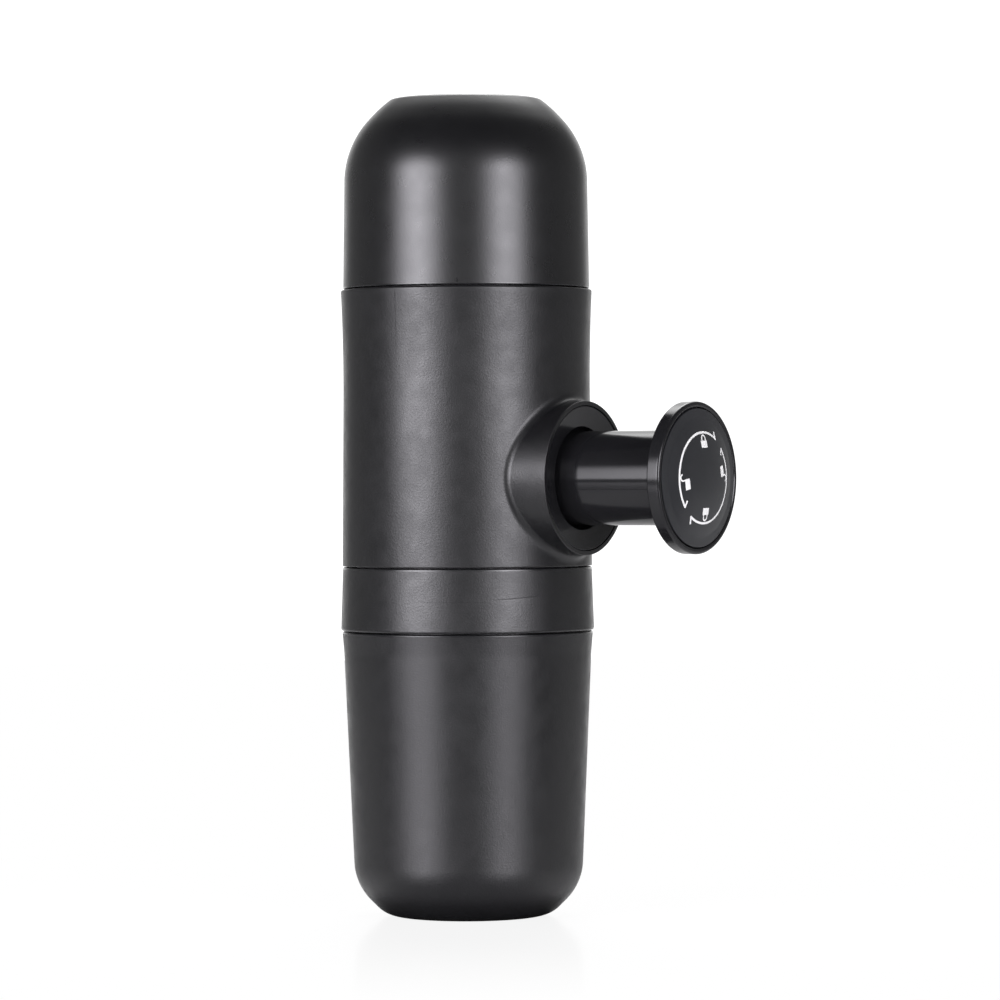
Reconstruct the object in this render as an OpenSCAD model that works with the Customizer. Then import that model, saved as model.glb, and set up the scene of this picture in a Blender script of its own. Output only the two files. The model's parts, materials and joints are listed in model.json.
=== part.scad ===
// Handheld manual espresso maker, millimetres, +Z up.
// The origin is the centre of the cup's flat base, and +X is the pump's axis, towards the knob.
// The cup stands at the bottom, then the outlet head, the housing with the pump, and the tank.

/* [Overall] */
// Height of the seam between the cup and the outlet head
cup_h = 73.7; // [70:0.1:80]
// Height of the outlet-head ring, seam to seam
head_h = 16.6; // [16.5:0.1:18]
// Height of the housing, seam to seam
body_h = 71.6; // [66:0.1:80]
// Height of the water tank above its seam
tank_h = 49.2; // [47:0.1:60]
// Width of the dark gap at each seam
seam_gap = 0.3; // [0.2:0.05:0.4]

/* [Cup] */
// Outer radius of the cup at its lip
cup_lip_r = 32.45; // [32:0.05:32.6]
// Outer radius where the straight taper meets the lip's flare
cup_neck_r = 32; // [31.7:0.05:32.1]
// Outer radius where the taper meets the bottom curve
cup_low_r = 29.65; // [28:0.05:30.5]
// Radius of the bottom curve
cup_curve_r = 14.5; // [12:0.1:16]
// Radius of the flat base
cup_base_r = 17.9; // [15:0.1:18.5]
// Radius of the small curve beside the base
cup_toe_r = 8; // [6:0.1:9]
// Wall thickness of the cup
cup_wall = 1.9; // [1.6:0.1:2.2]
// Inner radius of the cup's mouth
cup_mouth_r = 30.2; // [30.1:0.05:30.3]

/* [Outlet head] */
// Outer radius at the top of the ring
head_top_r = 32.2; // [31.9:0.05:32.4]
// Outer radius at the bottom of the ring
head_low_r = 32.75; // [32.5:0.05:33]
// Inner radius of the screw bore that takes the housing's spigot
thread_bore_r = 29.4; // [29.3:0.05:29.5]
// Outer radius of the wall that carries the filter basket
seat_r = 24.4; // [24:0.1:25]
// Length of the nozzle below the floor
nozzle_l = 11.5; // [9:0.5:14]

/* [Filter] */
// Outer radius of the basket's wall
basket_r = 21.1; // [20:0.1:21.2]
// Depth of the basket below its rim
basket_depth = 12.5; // [11:0.1:12.5]
// Sheet thickness of the basket
basket_sheet = 0.6; // [0.5:0.1:0.8]
// Radius of the holes in the screens
screen_hole_r = 0.6; // [0.5:0.05:0.7]

/* [Housing] */
// Outer radius at the bottom of the housing
body_low_r = 32.3; // [32.1:0.05:32.4]
// Outer radius at the waist
body_waist_r = 31.9; // [31.7:0.05:32]
// Outer radius at the top rim
body_top_r = 32.5; // [32.3:0.05:32.7]
// Height of the waist above the lower seam
waist_z = 45.7; // [40:0.1:50]
// Wall thickness of the housing
body_wall = 2.25; // [2.1:0.05:2.3]
// Outer radius of the side boss
boss_r = 19.7; // [19.4:0.1:20]
// Distance of the boss's face from the housing's axis
boss_face_x = 36.6; // [36:0.1:37.5]
// Radius of the blend between the boss and the housing
blend_r = 2.5; // [2:0.1:2.6]
// Radius of the collar's mouth around the plunger
collar_mouth_r = 13.1; // [12.8:0.1:14]
// How far the collar's face is dished towards its mouth
collar_dish = 1; // [0:0.1:1.2]

/* [Spigots] */
// Outer radius of the two screw spigots, without their threads
spigot_r = 28.6; // [28.5:0.05:28.7]
// Wall thickness of the spigots
spigot_wall = 2.4; // [2:0.1:2.6]
// How far each spigot reaches into its neighbour
spigot_l = 7.3; // [6.5:0.1:8]

/* [Water tank] */
// Outer radius of the tank's lip
tank_lip_r = 31.85; // [31.6:0.05:32]
// Outer radius where the dome starts
tank_dome_r = 31.45; // [31.2:0.05:31.6]
// Radius of the dome's curve
dome_curve_r = 24; // [22:0.5:26]
// Radius of the round between the dome's cone and its flat top
dome_edge_r = 2.2; // [2:0.1:3]
// Inner radius of the tank above its gasket
tank_inner_r = 28.6; // [28.4:0.1:28.7]

/* [Pump] */
// Height of the pump's axis above the base
pump_z = 113; // [112:0.1:114]
// Distance of the upright water column behind the housing's axis
column_back = 15; // [15:0.1:15.5]
// Radius of the water column
column_r = 7.5; // [7.5:0.1:8]
// Radius of the pump's bore
bore_r = 5.5; // [5:0.1:5.5]
// Outer radius of the pump cylinder
cylinder_r = 7.3; // [7:0.1:7.3]
// Travel of the plunger
stroke = 29; // [26:0.5:29]
// Radius of the piston rod
rod_r = 3.5; // [3:0.1:3.5]

/* [Plunger knob] */
// Outer radius of the knob's skirt
skirt_r = 12; // [11.8:0.1:12]
// Wall thickness of the skirt
skirt_wall = 1.4; // [1.2:0.1:1.4]
// Radius of the thumb disc
disc_r = 19.2; // [18:0.1:20]
// Thickness of the thumb disc
disc_t = 3.6; // [3.4:0.1:4]
// Distance of the disc's face from the housing's axis, pulled out
disc_face_x = 69.9; // [69.9:0.1:71]
// Radius of the cap in the disc's face
cap_r = 17.5; // [16:0.1:17.6]
// Rise of the cap's domed face above the disc's face
cap_rise = 2.6; // [1:0.1:3]
// Radius inside which the cap is domed
cap_dome_r = 15.4; // [14:0.1:16]
// Twist that locks the knob, in degrees
lock_twist = 40; // [30:1:45]

/* [Springs] */
// Wire diameter of the return spring
return_wire = 1; // [0.8:0.1:1]
// Turns of the return spring
return_turns = 12; // [9:1:13]
// Wire diameter of the valve springs
valve_wire = 0.45; // [0.4:0.05:0.5]
// Turns of the valve springs
valve_turns = 5; // [4:1:5]

/* [Hidden] */

round_fn = 96;
small_fn = 48;

// Colours of the mouldings, metal and rubber
charcoal = "#2b2b2e";
glossy_black = "#1d1d20";
dark_grey = "#3c3c40";
natural_plastic = "#d8d4c8";
steel = "#b9bcc0";
silicone = "#8c8f94";

// Heights of the seams, and of the solids on either side of them
head_seam_z = cup_h;
body_seam_z = cup_h + head_h;
tank_seam_z = body_seam_z + body_h;
top_z = tank_seam_z + tank_h;
cup_top_z = head_seam_z - seam_gap / 2;
head_bottom_z = head_seam_z + seam_gap / 2;
head_top_z = body_seam_z - seam_gap / 2;
body_bottom_z = body_seam_z + seam_gap / 2;
body_top_z = tank_seam_z - seam_gap / 2;
tank_bottom_z = tank_seam_z + seam_gap / 2;

// Small rounds and fits
lip_round = 0.5;
edge_round = 0.3;
boss_lip_round = 0.2;
running_fit = 0.06;
face_gap = 0.2;
body_inner_r = body_low_r - body_wall - 0.15;

// Cup
taper_top_z = cup_top_z - 5.3;
flare_z = cup_top_z - 2.3;
cup_curve = [
    cup_low_r - cup_curve_r,
    cup_low_r - cup_base_r + (sqrt(2) - 1) * (cup_curve_r - cup_toe_r)
];
mouth_depth = 8;
seal_r = 0.8;
seal_major_r = cup_mouth_r - 0.1 - seal_r;
seal_z = head_bottom_z - 3.3;

// Outlet head, filter and group
lower_spigot_r = 29.2;
lower_spigot_wall = 2;
lower_spigot_l = 7;
floor_t = 1.9;
nozzle_stub_r = 3.2;
nozzle_flange_r = 8;
basket_seat_z = body_bottom_z - 2.45;
basket_rim_z = basket_seat_z + face_gap;
basket_rim_r = seat_r + 0.2;
rim_t = 0.8;
basket_bottom_z = basket_rim_z + rim_t - basket_depth;
screen_t = 0.5;
gasket_bottom_z = basket_rim_z + rim_t + 0.3;
group_recess_z = body_bottom_z + 2.05;
group_top_z = group_recess_z + 4.5;
shower_r = 18.8;
shower_t = 0.8;
shower_z = group_recess_z - 1.9;

// Top plate and tank
plate_bottom_z = body_top_z - 5.25;
plate_floor_z = body_top_z - 3.25;
spigot_top_z = body_top_z + spigot_l;
gasket_t = 1.3;
tank_step_z = spigot_top_z + face_gap + gasket_t;
dome_start_z = top_z - 22.1;
dome_curve = [tank_dome_r - dome_curve_r, dome_start_z];

// Pump column and valves
column_x = -column_back;
chamber_x = column_x + 3;
flange_x0 = -6;
flange_x1 = -3;
flange_r = 9.3;
cylinder_end_x = 24;
cap_end_x = 28;
passage_r = 1.6;
valve_chamber_r = 3.6;
poppet_r = 3;
poppet_lift = 1.2;
poppet_gap = 0.15;
inlet_seat_z = plate_bottom_z - 6.2;
inlet_floor_z = inlet_seat_z - 8.3;
outlet_seat_z = group_top_z + 7.3;
outlet_floor_z = outlet_seat_z - 8.3;
screw_offset = 11;
port_ring_r = 0.75;
port_ring_major_r = 5.2;

// Plunger, measured pulled out
disc_back_x = disc_face_x - disc_t;
skirt_floor_x = disc_back_x - 0.3;
skirt_end_x = 27.4;
stop_x = 29.9;
stop_r = 13.2;
collar_seat_x = stop_x + 0.3;
collar_r = boss_r - 1.2;
skirt_inner_r = skirt_r - skirt_wall;
hub_r = 5.2;
hub_end_x = cap_end_x + stroke + 1;
piston_r = bore_r - 0.1;
piston_face_x = chamber_x + stroke + 0.2;
piston_l = 5;
ring_r = 0.9;
lug_w = 5;
lug_l = 2;
lug_inner_r = 9.7;
sleeve_inner_r = 9.3;
sleeve_r = 10.3;
sleeve_end_x = 4;
spring_seat_x = skirt_floor_x - 0.3;
washer_t = 1;
return_mean_r = 8.5;

// Coils: rings in a turn and sides of the wire
coil_rings = 8;
wire_sides = 6;

// Blend between the boss and the housing: sections round it, steps across it, and how far the
// blend's ends and its back sink into the walls
blend_sections = 72;
blend_steps = 8;
blend_sink = 0.03;
blend_back = 1.3;

// Outer radius of the housing at a height: a slight taper up to the waist, then a flare
function body_r(z) =
    let (h = z - body_seam_z)
    h < waist_z
        ? body_low_r + (body_waist_r - body_low_r) * h / waist_z
        : body_waist_r + (body_top_r - body_waist_r) * pow((h - waist_z) / (body_h - waist_z), 2.2);

// A point on a circle, by centre, radius and angle
function on_circle(centre, r, angle) = [centre[0] + r * cos(angle), centre[1] + r * sin(angle)];

// Rings of points along a helix of round wire that climbs from height 0 to length
function coil_centre(mean_r, wire_r, length, turns, i) =
    let (a = 360 * i / coil_rings, share = i / (turns * coil_rings))
    [mean_r * cos(a), mean_r * sin(a), wire_r + (length - 2 * wire_r) * share];

function coil_points(mean_r, wire_r, length, turns) = [
    for (i = [0 : turns * coil_rings])
        let (a = 360 * i / coil_rings, c = coil_centre(mean_r, wire_r, length, turns, i))
        for (j = [0 : wire_sides - 1])
            let (b = 360 * j / wire_sides, out = wire_r * cos(b))
            [c[0] + out * cos(a), c[1] + out * sin(a), c[2] + wire_r * sin(b)]
];

// Faces of a closed tube made of rings of points
function tube_faces(rings, sides) = concat(
    [for (i = [0 : rings - 2], j = [0 : sides - 1])
        [i * sides + j, i * sides + (j + 1) % sides, (i + 1) * sides + (j + 1) % sides]],
    [for (i = [0 : rings - 2], j = [0 : sides - 1])
        [i * sides + j, (i + 1) * sides + (j + 1) % sides, (i + 1) * sides + j]],
    [for (j = [1 : sides - 2]) [0, j + 1, j]],
    [for (j = [1 : sides - 2])
        [(rings - 1) * sides, (rings - 1) * sides + j, (rings - 1) * sides + j + 1]]
);

// Least distance between the wire's surface and its next turns
function coil_gap(mean_r, wire_r, length, turns) =
    let (last = turns * coil_rings)
    min([for (i = [0 : last - coil_rings / 2], k = [i + coil_rings / 2 : last])
        norm(coil_centre(mean_r, wire_r, length, turns, i)
            - coil_centre(mean_r, wire_r, length, turns, k))]) - 2 * wire_r;

// Centre of a ball that rolls round the boss and touches both it and the housing
function ball_centre(a) =
    let (y = (boss_r + blend_r) * cos(a), z = (boss_r + blend_r) * sin(a))
    [sqrt(pow(body_r(pump_z + z) + blend_r, 2) - y * y), y, z];

// One section of the blend: an arc from the housing to the boss, and a back point inside both
function blend_section(a) =
    let (
        c = ball_centre(a),
        to_body = -[c[0], c[1], 0] / norm([c[0], c[1]]),
        to_boss = -[0, c[1], c[2]] / norm([c[1], c[2]]),
        w = acos(to_body * to_boss)
    )
    concat(
        [for (i = [0 : blend_steps])
            let (
                t = i / blend_steps,
                reach = blend_r + (i == 0 || i == blend_steps ? blend_sink : 0)
            )
            c + reach * (sin((1 - t) * w) * to_body + sin(t * w) * to_boss) / sin(w)],
        [c + blend_back * blend_r * (to_body + to_boss)]
    );

// Faces of a closed ring of sections
function ring_faces(rings, sides) = concat(
    [for (i = [0 : rings - 1], j = [0 : sides - 1])
        let (k = (i + 1) % rings)
        [i * sides + j, i * sides + (j + 1) % sides, k * sides + (j + 1) % sides]],
    [for (i = [0 : rings - 1], j = [0 : sides - 1])
        let (k = (i + 1) % rings)
        [i * sides + j, k * sides + (j + 1) % sides, k * sides + j]]
);

// Turns a profile of [radius, height] about Z, or of [radius, x] about the pump's axis
module turned() {
    rotate_extrude($fn = round_fn) children();
}

module along_pump() {
    translate([0, 0, pump_z]) rotate([0, 90, 0]) children();
}

module turned_along_pump() {
    along_pump() rotate_extrude($fn = round_fn) children();
}

// The part of a circle inside a box, which rounds the corner of a profile
module arc_corner(centre, r, low, high) {
    intersection() {
        translate(centre) circle(r = r, $fn = round_fn);
        translate(low) square(high - low);
    }
}

// A rectangle in a profile, from its inner and outer radius and its two heights
module band(r0, r1, z0, z1) {
    translate([r0, z0]) square([r1 - r0, z1 - z0]);
}

// Rings of small holes in a round screen, each ring a number of holes on a radius
module screen_holes(rings, z0, z1) {
    for (ring = rings)
        for (i = [0 : ring[0] - 1])
            rotate([0, 0, 360 * i / ring[0]])
                translate([ring[1], 0, z0])
                    cylinder(r = screen_hole_r, h = z1 - z0, $fn = 24);
}

// Filled half-section of the cup below its flare, shrunk on every side by an inset
module cup_half(inset) {
    curve_r = cup_curve_r - inset;
    toe_r = cup_toe_r - inset;
    toe = [cup_base_r, cup_toe_r];
    slope = atan((cup_neck_r - cup_low_r) / (taper_top_z - cup_curve[1]));
    side = on_circle(cup_curve, curve_r, -slope);
    curve_end = on_circle(cup_curve, curve_r, -45);
    toe_start = on_circle(toe, toe_r, -45);
    polygon([
        [0, inset],
        [cup_base_r, inset],
        toe_start,
        curve_end,
        side,
        [cup_neck_r - inset, taper_top_z],
        [cup_neck_r - inset + 0.25, flare_z],
        [cup_lip_r - inset, cup_top_z - lip_round],
        [cup_lip_r - inset - lip_round, cup_top_z],
        [0, cup_top_z]
    ]);
    arc_corner(cup_curve, curve_r, curve_end, [cup_curve[0] + curve_r, side[1]]);
    arc_corner(toe, toe_r, [cup_base_r, inset], toe_start);
}

module espresso_cup() {
    mouth_z = cup_top_z - mouth_depth;
    color(charcoal) turned() difference() {
        union() {
            cup_half(0);
            translate([cup_lip_r - lip_round, cup_top_z - lip_round])
                circle(r = lip_round, $fn = small_fn);
        }
        intersection() {
            cup_half(cup_wall);
            band(0, cup_mouth_r, 0, mouth_z);
        }
        polygon([
            [0, mouth_z - 0.1],
            [cup_mouth_r - 0.5, mouth_z - 0.1],
            [cup_mouth_r, mouth_z + 0.5],
            [cup_mouth_r, cup_top_z + 1],
            [0, cup_top_z + 1]
        ]);
    }
}

module cup_seal() {
    color(silicone) turned()
        translate([seal_major_r, seal_z]) circle(r = seal_r, $fn = small_fn);
}

module outlet_head() {
    floor_top = head_bottom_z + floor_t;
    spigot_end = head_bottom_z - lower_spigot_l;
    rounding = 0.5;
    color(charcoal) turned() difference() {
        union() {
            // Outer wall, with a round at its lower edge
            polygon([
                [thread_bore_r, head_bottom_z],
                [head_low_r - rounding, head_bottom_z],
                [head_low_r, head_bottom_z + rounding],
                [head_top_r, head_top_z - edge_round],
                [head_top_r - edge_round, head_top_z],
                [thread_bore_r, head_top_z]
            ]);
            arc_corner(
                [head_low_r - rounding, head_bottom_z + rounding],
                rounding,
                [head_low_r - rounding, head_bottom_z],
                [head_low_r, head_bottom_z + rounding]
            );
            // Floor, basket seat and the spigot inside the cup
            band(0, head_low_r - 1, head_bottom_z, floor_top);
            band(basket_r + 0.4, seat_r, head_bottom_z, basket_seat_z);
            band(lower_spigot_r - lower_spigot_wall, lower_spigot_r, spigot_end, head_bottom_z + 1);
        }
        // Funnel to the nozzle's hole
        polygon([
            [0, head_bottom_z - 1],
            [nozzle_stub_r, head_bottom_z - 1],
            [nozzle_stub_r, floor_top - 1],
            [basket_r - 1, floor_top + 0.01],
            [0, floor_top + 0.01]
        ]);
        // Groove for the cup seal
        band(seal_major_r - seal_r, lower_spigot_r + 1, seal_z - seal_r, seal_z + seal_r);
    }
}

module nozzle() {
    tip_z = head_bottom_z - nozzle_l;
    color(charcoal) turned() difference() {
        union() {
            band(0, nozzle_stub_r, head_bottom_z - 1, head_bottom_z + 1.2);
            polygon([
                [0, tip_z],
                [3.4, tip_z],
                [3.8, tip_z + 0.4],
                [6, head_bottom_z - 3.2],
                [nozzle_flange_r, head_bottom_z - 2.2],
                [nozzle_flange_r, head_bottom_z],
                [0, head_bottom_z]
            ]);
        }
        polygon([
            [0, tip_z - 1],
            [1.9, tip_z - 1],
            [1.9, tip_z + 0.6],
            [passage_r, tip_z + 1],
            [passage_r, head_bottom_z + 2],
            [0, head_bottom_z + 2]
        ]);
    }
}

module crema_plate() {
    z0 = head_bottom_z + floor_t;
    color(natural_plastic) difference() {
        turned() band(0, basket_r + 0.2, z0, z0 + 0.4);
        screen_holes([[1, 0], [6, 4]], z0 - 1, z0 + 1);
    }
}

module filter_basket() {
    rim_top = basket_rim_z + rim_t;
    inner_r = basket_r - basket_sheet;
    corner = 1.5;
    color(steel) turned() difference() {
        union() {
            band(0, basket_rim_r, basket_rim_z, rim_top);
            band(0, basket_r, basket_bottom_z + corner, rim_top);
            band(0, basket_r - corner, basket_bottom_z, rim_top);
            arc_corner(
                [basket_r - corner, basket_bottom_z + corner],
                corner,
                [basket_r - corner, basket_bottom_z],
                [basket_r, basket_bottom_z + corner]
            );
        }
        band(0, inner_r, basket_bottom_z + corner, rim_top + 1);
        band(0, basket_r - corner - 1, basket_bottom_z - 1, rim_top);
        band(0, inner_r - 0.4, basket_bottom_z + basket_sheet, rim_top);
    }
}

module basket_screen() {
    z0 = basket_bottom_z + basket_sheet;
    color(steel) difference() {
        turned() band(0, basket_r - basket_sheet - 0.4, z0, z0 + screen_t);
        screen_holes([[1, 0], [6, 4], [12, 8], [18, 12], [24, 16]], z0 - 1, z0 + 1);
    }
}

module group_gasket() {
    lip = 0.6;
    outer_r = spigot_r - spigot_wall - face_gap;
    inner_r = shower_r + 0.8;
    top_z = group_recess_z - face_gap;
    color(silicone) turned() polygon([
        [inner_r, gasket_bottom_z + lip],
        [inner_r + lip, gasket_bottom_z],
        [outer_r - lip, gasket_bottom_z],
        [outer_r, gasket_bottom_z + lip],
        [outer_r, top_z],
        [inner_r, top_z]
    ]);
}

module group_head() {
    inner_r = spigot_r - spigot_wall;
    end_z = body_bottom_z - spigot_l;
    lead = 0.8;
    color(dark_grey) difference() {
        turned() difference() {
            polygon([
                [0, end_z],
                [spigot_r - lead, end_z],
                [spigot_r, end_z + lead],
                [spigot_r, body_bottom_z],
                [body_inner_r, body_bottom_z],
                [body_inner_r, group_top_z],
                [0, group_top_z]
            ]);
            // Recess for the gasket and the shower screen, round a boss for the screen
            difference() {
                band(0, inner_r, end_z - 1, group_recess_z);
                band(0, 4, shower_z + shower_t, group_recess_z + 1);
            }
        }
        translate([column_x, 0, 0]) {
            cylinder(r = passage_r, h = group_top_z + 1, $fn = small_fn);
            translate([0, 0, group_top_z - 1])
                cylinder(r = valve_chamber_r, h = 2, $fn = small_fn);
        }
        cylinder(r = 1.3, h = shower_z + 4, $fn = small_fn);
        for (side = [-1, 1])
            translate([column_x, side * screw_offset, 0]) {
                cylinder(r = 1.6, h = group_top_z + 1, $fn = small_fn);
                cylinder(r = 3, h = group_recess_z + 1.8, $fn = small_fn);
            }
    }
}

module shower_screen() {
    color(steel) difference() {
        turned() band(0, shower_r, shower_z, shower_z + shower_t);
        screen_holes([[8, 7], [14, 11], [20, 15]], shower_z - 1, shower_z + 2);
        cylinder(r = 1.6, h = shower_z + 2, $fn = small_fn);
    }
}

module shower_screw() {
    color(steel) turned() {
        band(0, 2.8, shower_z - 1.6, shower_z);
        band(0, 1.3, shower_z - 0.5, shower_z + 3.6);
    }
}

// Ring that fills the corner between the boss and the housing with a rolling-ball blend
module boss_blend() {
    sections = [for (i = [0 : blend_sections - 1]) blend_section(360 * i / blend_sections)];
    points = [for (section = sections) for (p = section) p];
    translate([0, 0, pump_z])
        polyhedron(points = points, faces = ring_faces(blend_sections, blend_steps + 2));
}

module housing() {
    steps = 14;
    color(charcoal) difference() {
        union() {
            turned() {
                polygon(concat(
                    [[0, body_bottom_z], [body_low_r - edge_round, body_bottom_z]],
                    [[body_low_r, body_bottom_z + edge_round]],
                    [for (i = [0 : steps])
                        let (z = body_seam_z + waist_z + (body_h - waist_z - 0.8) * i / steps)
                        [body_r(z), z]],
                    [[body_top_r - lip_round, body_top_z], [0, body_top_z]]
                ));
                translate([body_top_r - lip_round - 0.02, body_top_z - lip_round])
                    circle(r = lip_round, $fn = small_fn);
            }
            turned_along_pump() {
                band(0, boss_r, 0, boss_face_x - boss_lip_round);
                band(0, boss_r - boss_lip_round, 0, boss_face_x);
                translate([boss_r - boss_lip_round, boss_face_x - boss_lip_round])
                    circle(r = boss_lip_round, $fn = small_fn);
            }
            boss_blend();
        }
        // Cavity, with a ledge below the top plate and one above the group head
        turned() difference() {
            band(0, body_inner_r, body_bottom_z - 1, body_top_z + 1);
            band(body_inner_r - 1.2, body_inner_r + 1, plate_bottom_z - 1.8, plate_bottom_z);
            band(body_inner_r - 1.2, body_inner_r + 1, group_top_z, group_top_z + 1.6);
        }
        // Passage for the plunger, and the collar's seat
        turned_along_pump() {
            band(0, stop_r + 2, 0, boss_face_x);
            band(0, collar_r + 0.1, collar_seat_x, boss_face_x + 1);
        }
    }
}

module collar() {
    land = 2.4;
    front_x = boss_face_x - 0.1;
    mouth_x = front_x - collar_dish;
    chamfer = 0.3;
    color(glossy_black) turned_along_pump() polygon([
        [skirt_r + running_fit, collar_seat_x],
        [collar_r, collar_seat_x],
        [collar_r, front_x - chamfer],
        [collar_r - chamfer, front_x],
        [collar_mouth_r + chamfer, mouth_x],
        [collar_mouth_r, mouth_x - chamfer],
        [collar_mouth_r, collar_seat_x + land + 1],
        [skirt_r + running_fit, collar_seat_x + land]
    ]);
}

module pump_block() {
    socket_x = flange_x0 - 0.2;
    color(natural_plastic) difference() {
        union() {
            translate([column_x, 0, group_top_z])
                cylinder(r = column_r, h = plate_bottom_z - group_top_z, $fn = round_fn);
            turned_along_pump() band(0, flange_r, column_x, socket_x);
            // Feet for the screws at both ends
            for (side = [-1, 1])
                for (z = [group_top_z, plate_bottom_z - 6])
                    translate([column_x, side * screw_offset, z])
                        cylinder(r = 3.2, h = 6, $fn = small_fn);
            for (z = [group_top_z, plate_bottom_z - 6])
                translate([column_x - 1.5, -screw_offset, z])
                    cube([3, 2 * screw_offset, 6]);
        }
        // Socket and port of the pump cylinder
        turned_along_pump() {
            band(0, cylinder_r, chamber_x, socket_x + 1);
            band(0, passage_r, column_x, chamber_x + 1);
        }
        translate([column_x, 0, 0]) {
            translate([0, 0, outlet_seat_z - 1])
                cylinder(r = passage_r, h = inlet_floor_z - outlet_seat_z + 2, $fn = small_fn);
            translate([0, 0, group_top_z - 1])
                cylinder(r = valve_chamber_r, h = outlet_seat_z - group_top_z + 1, $fn = small_fn);
            translate([0, 0, inlet_floor_z])
                cylinder(r = valve_chamber_r, h = plate_bottom_z - inlet_floor_z + 1, $fn = small_fn);
            // Grooves for the port seals
            for (z = [group_top_z - 1, plate_bottom_z - 2 * port_ring_r])
                translate([0, 0, z]) difference() {
                    cylinder(r = port_ring_major_r + port_ring_r, h = 2 * port_ring_r + 1,
                        $fn = small_fn);
                    translate([0, 0, -1])
                        cylinder(r = port_ring_major_r - port_ring_r, h = 2 * port_ring_r + 3,
                            $fn = small_fn);
                }
        }
        for (side = [-1, 1])
            translate([column_x, side * screw_offset, 0]) {
                cylinder(r = 1.3, h = group_top_z + 5, $fn = small_fn);
                translate([0, 0, plate_bottom_z - 5]) cylinder(r = 1.3, h = 6, $fn = small_fn);
            }
    }
}

module pump_cylinder() {
    color(natural_plastic) turned_along_pump() difference() {
        union() {
            band(0, cylinder_r, chamber_x, cylinder_end_x);
            band(0, flange_r, flange_x0, flange_x1);
        }
        band(0, bore_r, chamber_x - 1, cylinder_end_x + 1);
    }
}

module cylinder_cap() {
    color(dark_grey) turned_along_pump() difference() {
        union() {
            band(0, cylinder_r, cylinder_end_x, cap_end_x);
            band(0, bore_r, cylinder_end_x - 1.1, cylinder_end_x + 1);
        }
        band(0, rod_r + running_fit, cylinder_end_x - 2, cap_end_x + 1);
    }
}

// Sleeve with two slots like a J: the knob's lugs run in, then turn behind the sleeve's lip
module bayonet_sleeve() {
    slot_w = lug_w + 1.2;
    slot_x0 = skirt_end_x - stroke - 0.4;
    slot_x1 = slot_x0 + lug_l + 0.8;
    reach = 2 * sleeve_r;
    half = asin(slot_w / 2 / sleeve_r);
    color(dark_grey) difference() {
        turned_along_pump() band(sleeve_inner_r, sleeve_r, flange_x0, sleeve_end_x);
        translate([0, 0, pump_z]) {
            translate([slot_x0, -slot_w / 2, -reach])
                cube([sleeve_end_x - slot_x0 + 1, slot_w, 2 * reach]);
            for (side = [0, 180])
                rotate([side, 0, 0])
                    translate([slot_x0, 0, 0]) rotate([90, 0, 90])
                        linear_extrude(height = slot_x1 - slot_x0)
                            polygon([
                                [0, 0],
                                [0, reach],
                                [reach * cos(90 - lock_twist / 2), reach * sin(90 - lock_twist / 2)],
                                [
                                    reach * cos(90 - lock_twist - half),
                                    reach * sin(90 - lock_twist - half)
                                ]
                            ]);
        }
    }
}

module port_seals() {
    color(silicone)
        for (z = [group_top_z + port_ring_r, plate_bottom_z - port_ring_r])
            translate([column_x, 0, z])
                rotate_extrude($fn = small_fn)
                    translate([port_ring_major_r, 0]) circle(r = port_ring_r - 0.02, $fn = 24);
}

module inlet_valve_seat() {
    color(dark_grey) translate([column_x, 0, inlet_seat_z])
        rotate_extrude($fn = small_fn) difference() {
            band(0, valve_chamber_r, 0, plate_bottom_z - inlet_seat_z);
            polygon([[0, -1], [2.3, -1], [passage_r, 1.2], [passage_r, 20], [0, 20]]);
        }
}

// Mushroom-shaped valve that a spring holds up against its seat
module poppet(seat_z) {
    color(silicone) translate([column_x, 0, seat_z - poppet_gap])
        rotate_extrude($fn = small_fn) polygon([
            [0, -5],
            [1.1, -5],
            [1.1, -1.4],
            [poppet_r, -1.2],
            [poppet_r, 0],
            [1.4, 0],
            [0.9, 0.8],
            [0, 0.8]
        ]);
}

module valve_spring(floor_z, seat_z) {
    length = seat_z - poppet_gap - 1.45 - floor_z;
    points = coil_points(2, valve_wire / 2, length, valve_turns);
    color(steel) translate([column_x, 0, floor_z])
        polyhedron(points = points, faces = tube_faces(valve_turns * coil_rings + 1, wire_sides));
}

module inlet_poppet() {
    poppet(inlet_seat_z);
}

module inlet_valve_spring() {
    valve_spring(inlet_floor_z, inlet_seat_z);
}

module outlet_poppet() {
    poppet(outlet_seat_z);
}

module outlet_valve_spring() {
    valve_spring(outlet_floor_z, outlet_seat_z);
}

module piston_rod() {
    groove_x = piston_face_x + piston_l / 2;
    color(steel) turned_along_pump() difference() {
        union() {
            band(0, rod_r, piston_face_x + 1, skirt_floor_x - 0.1);
            band(0, piston_r, piston_face_x, piston_face_x + piston_l);
        }
        band(bore_r - 0.05 - 2 * ring_r, bore_r, groove_x - ring_r, groove_x + ring_r);
        band(0, 1.5, skirt_floor_x - 12, skirt_floor_x);
    }
}

module piston_seal() {
    color(silicone) turned_along_pump()
        translate([bore_r - 0.05 - ring_r, piston_face_x + piston_l / 2])
            circle(r = ring_r, $fn = small_fn);
}

module return_spring() {
    length = spring_seat_x - washer_t - 0.1 - flange_x1;
    points = coil_points(return_mean_r, return_wire / 2, length, return_turns);
    color(steel) along_pump() translate([0, 0, flange_x1 + 0.05])
        polyhedron(points = points, faces = tube_faces(return_turns * coil_rings + 1, wire_sides));
    echo(str("return spring, least gap to itself in mm: ",
        coil_gap(return_mean_r, return_wire / 2, length, return_turns)));
}

module spring_washer() {
    color(steel) turned_along_pump()
        band(hub_r + 0.4, skirt_inner_r - 0.4, spring_seat_x - washer_t, spring_seat_x);
}

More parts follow.
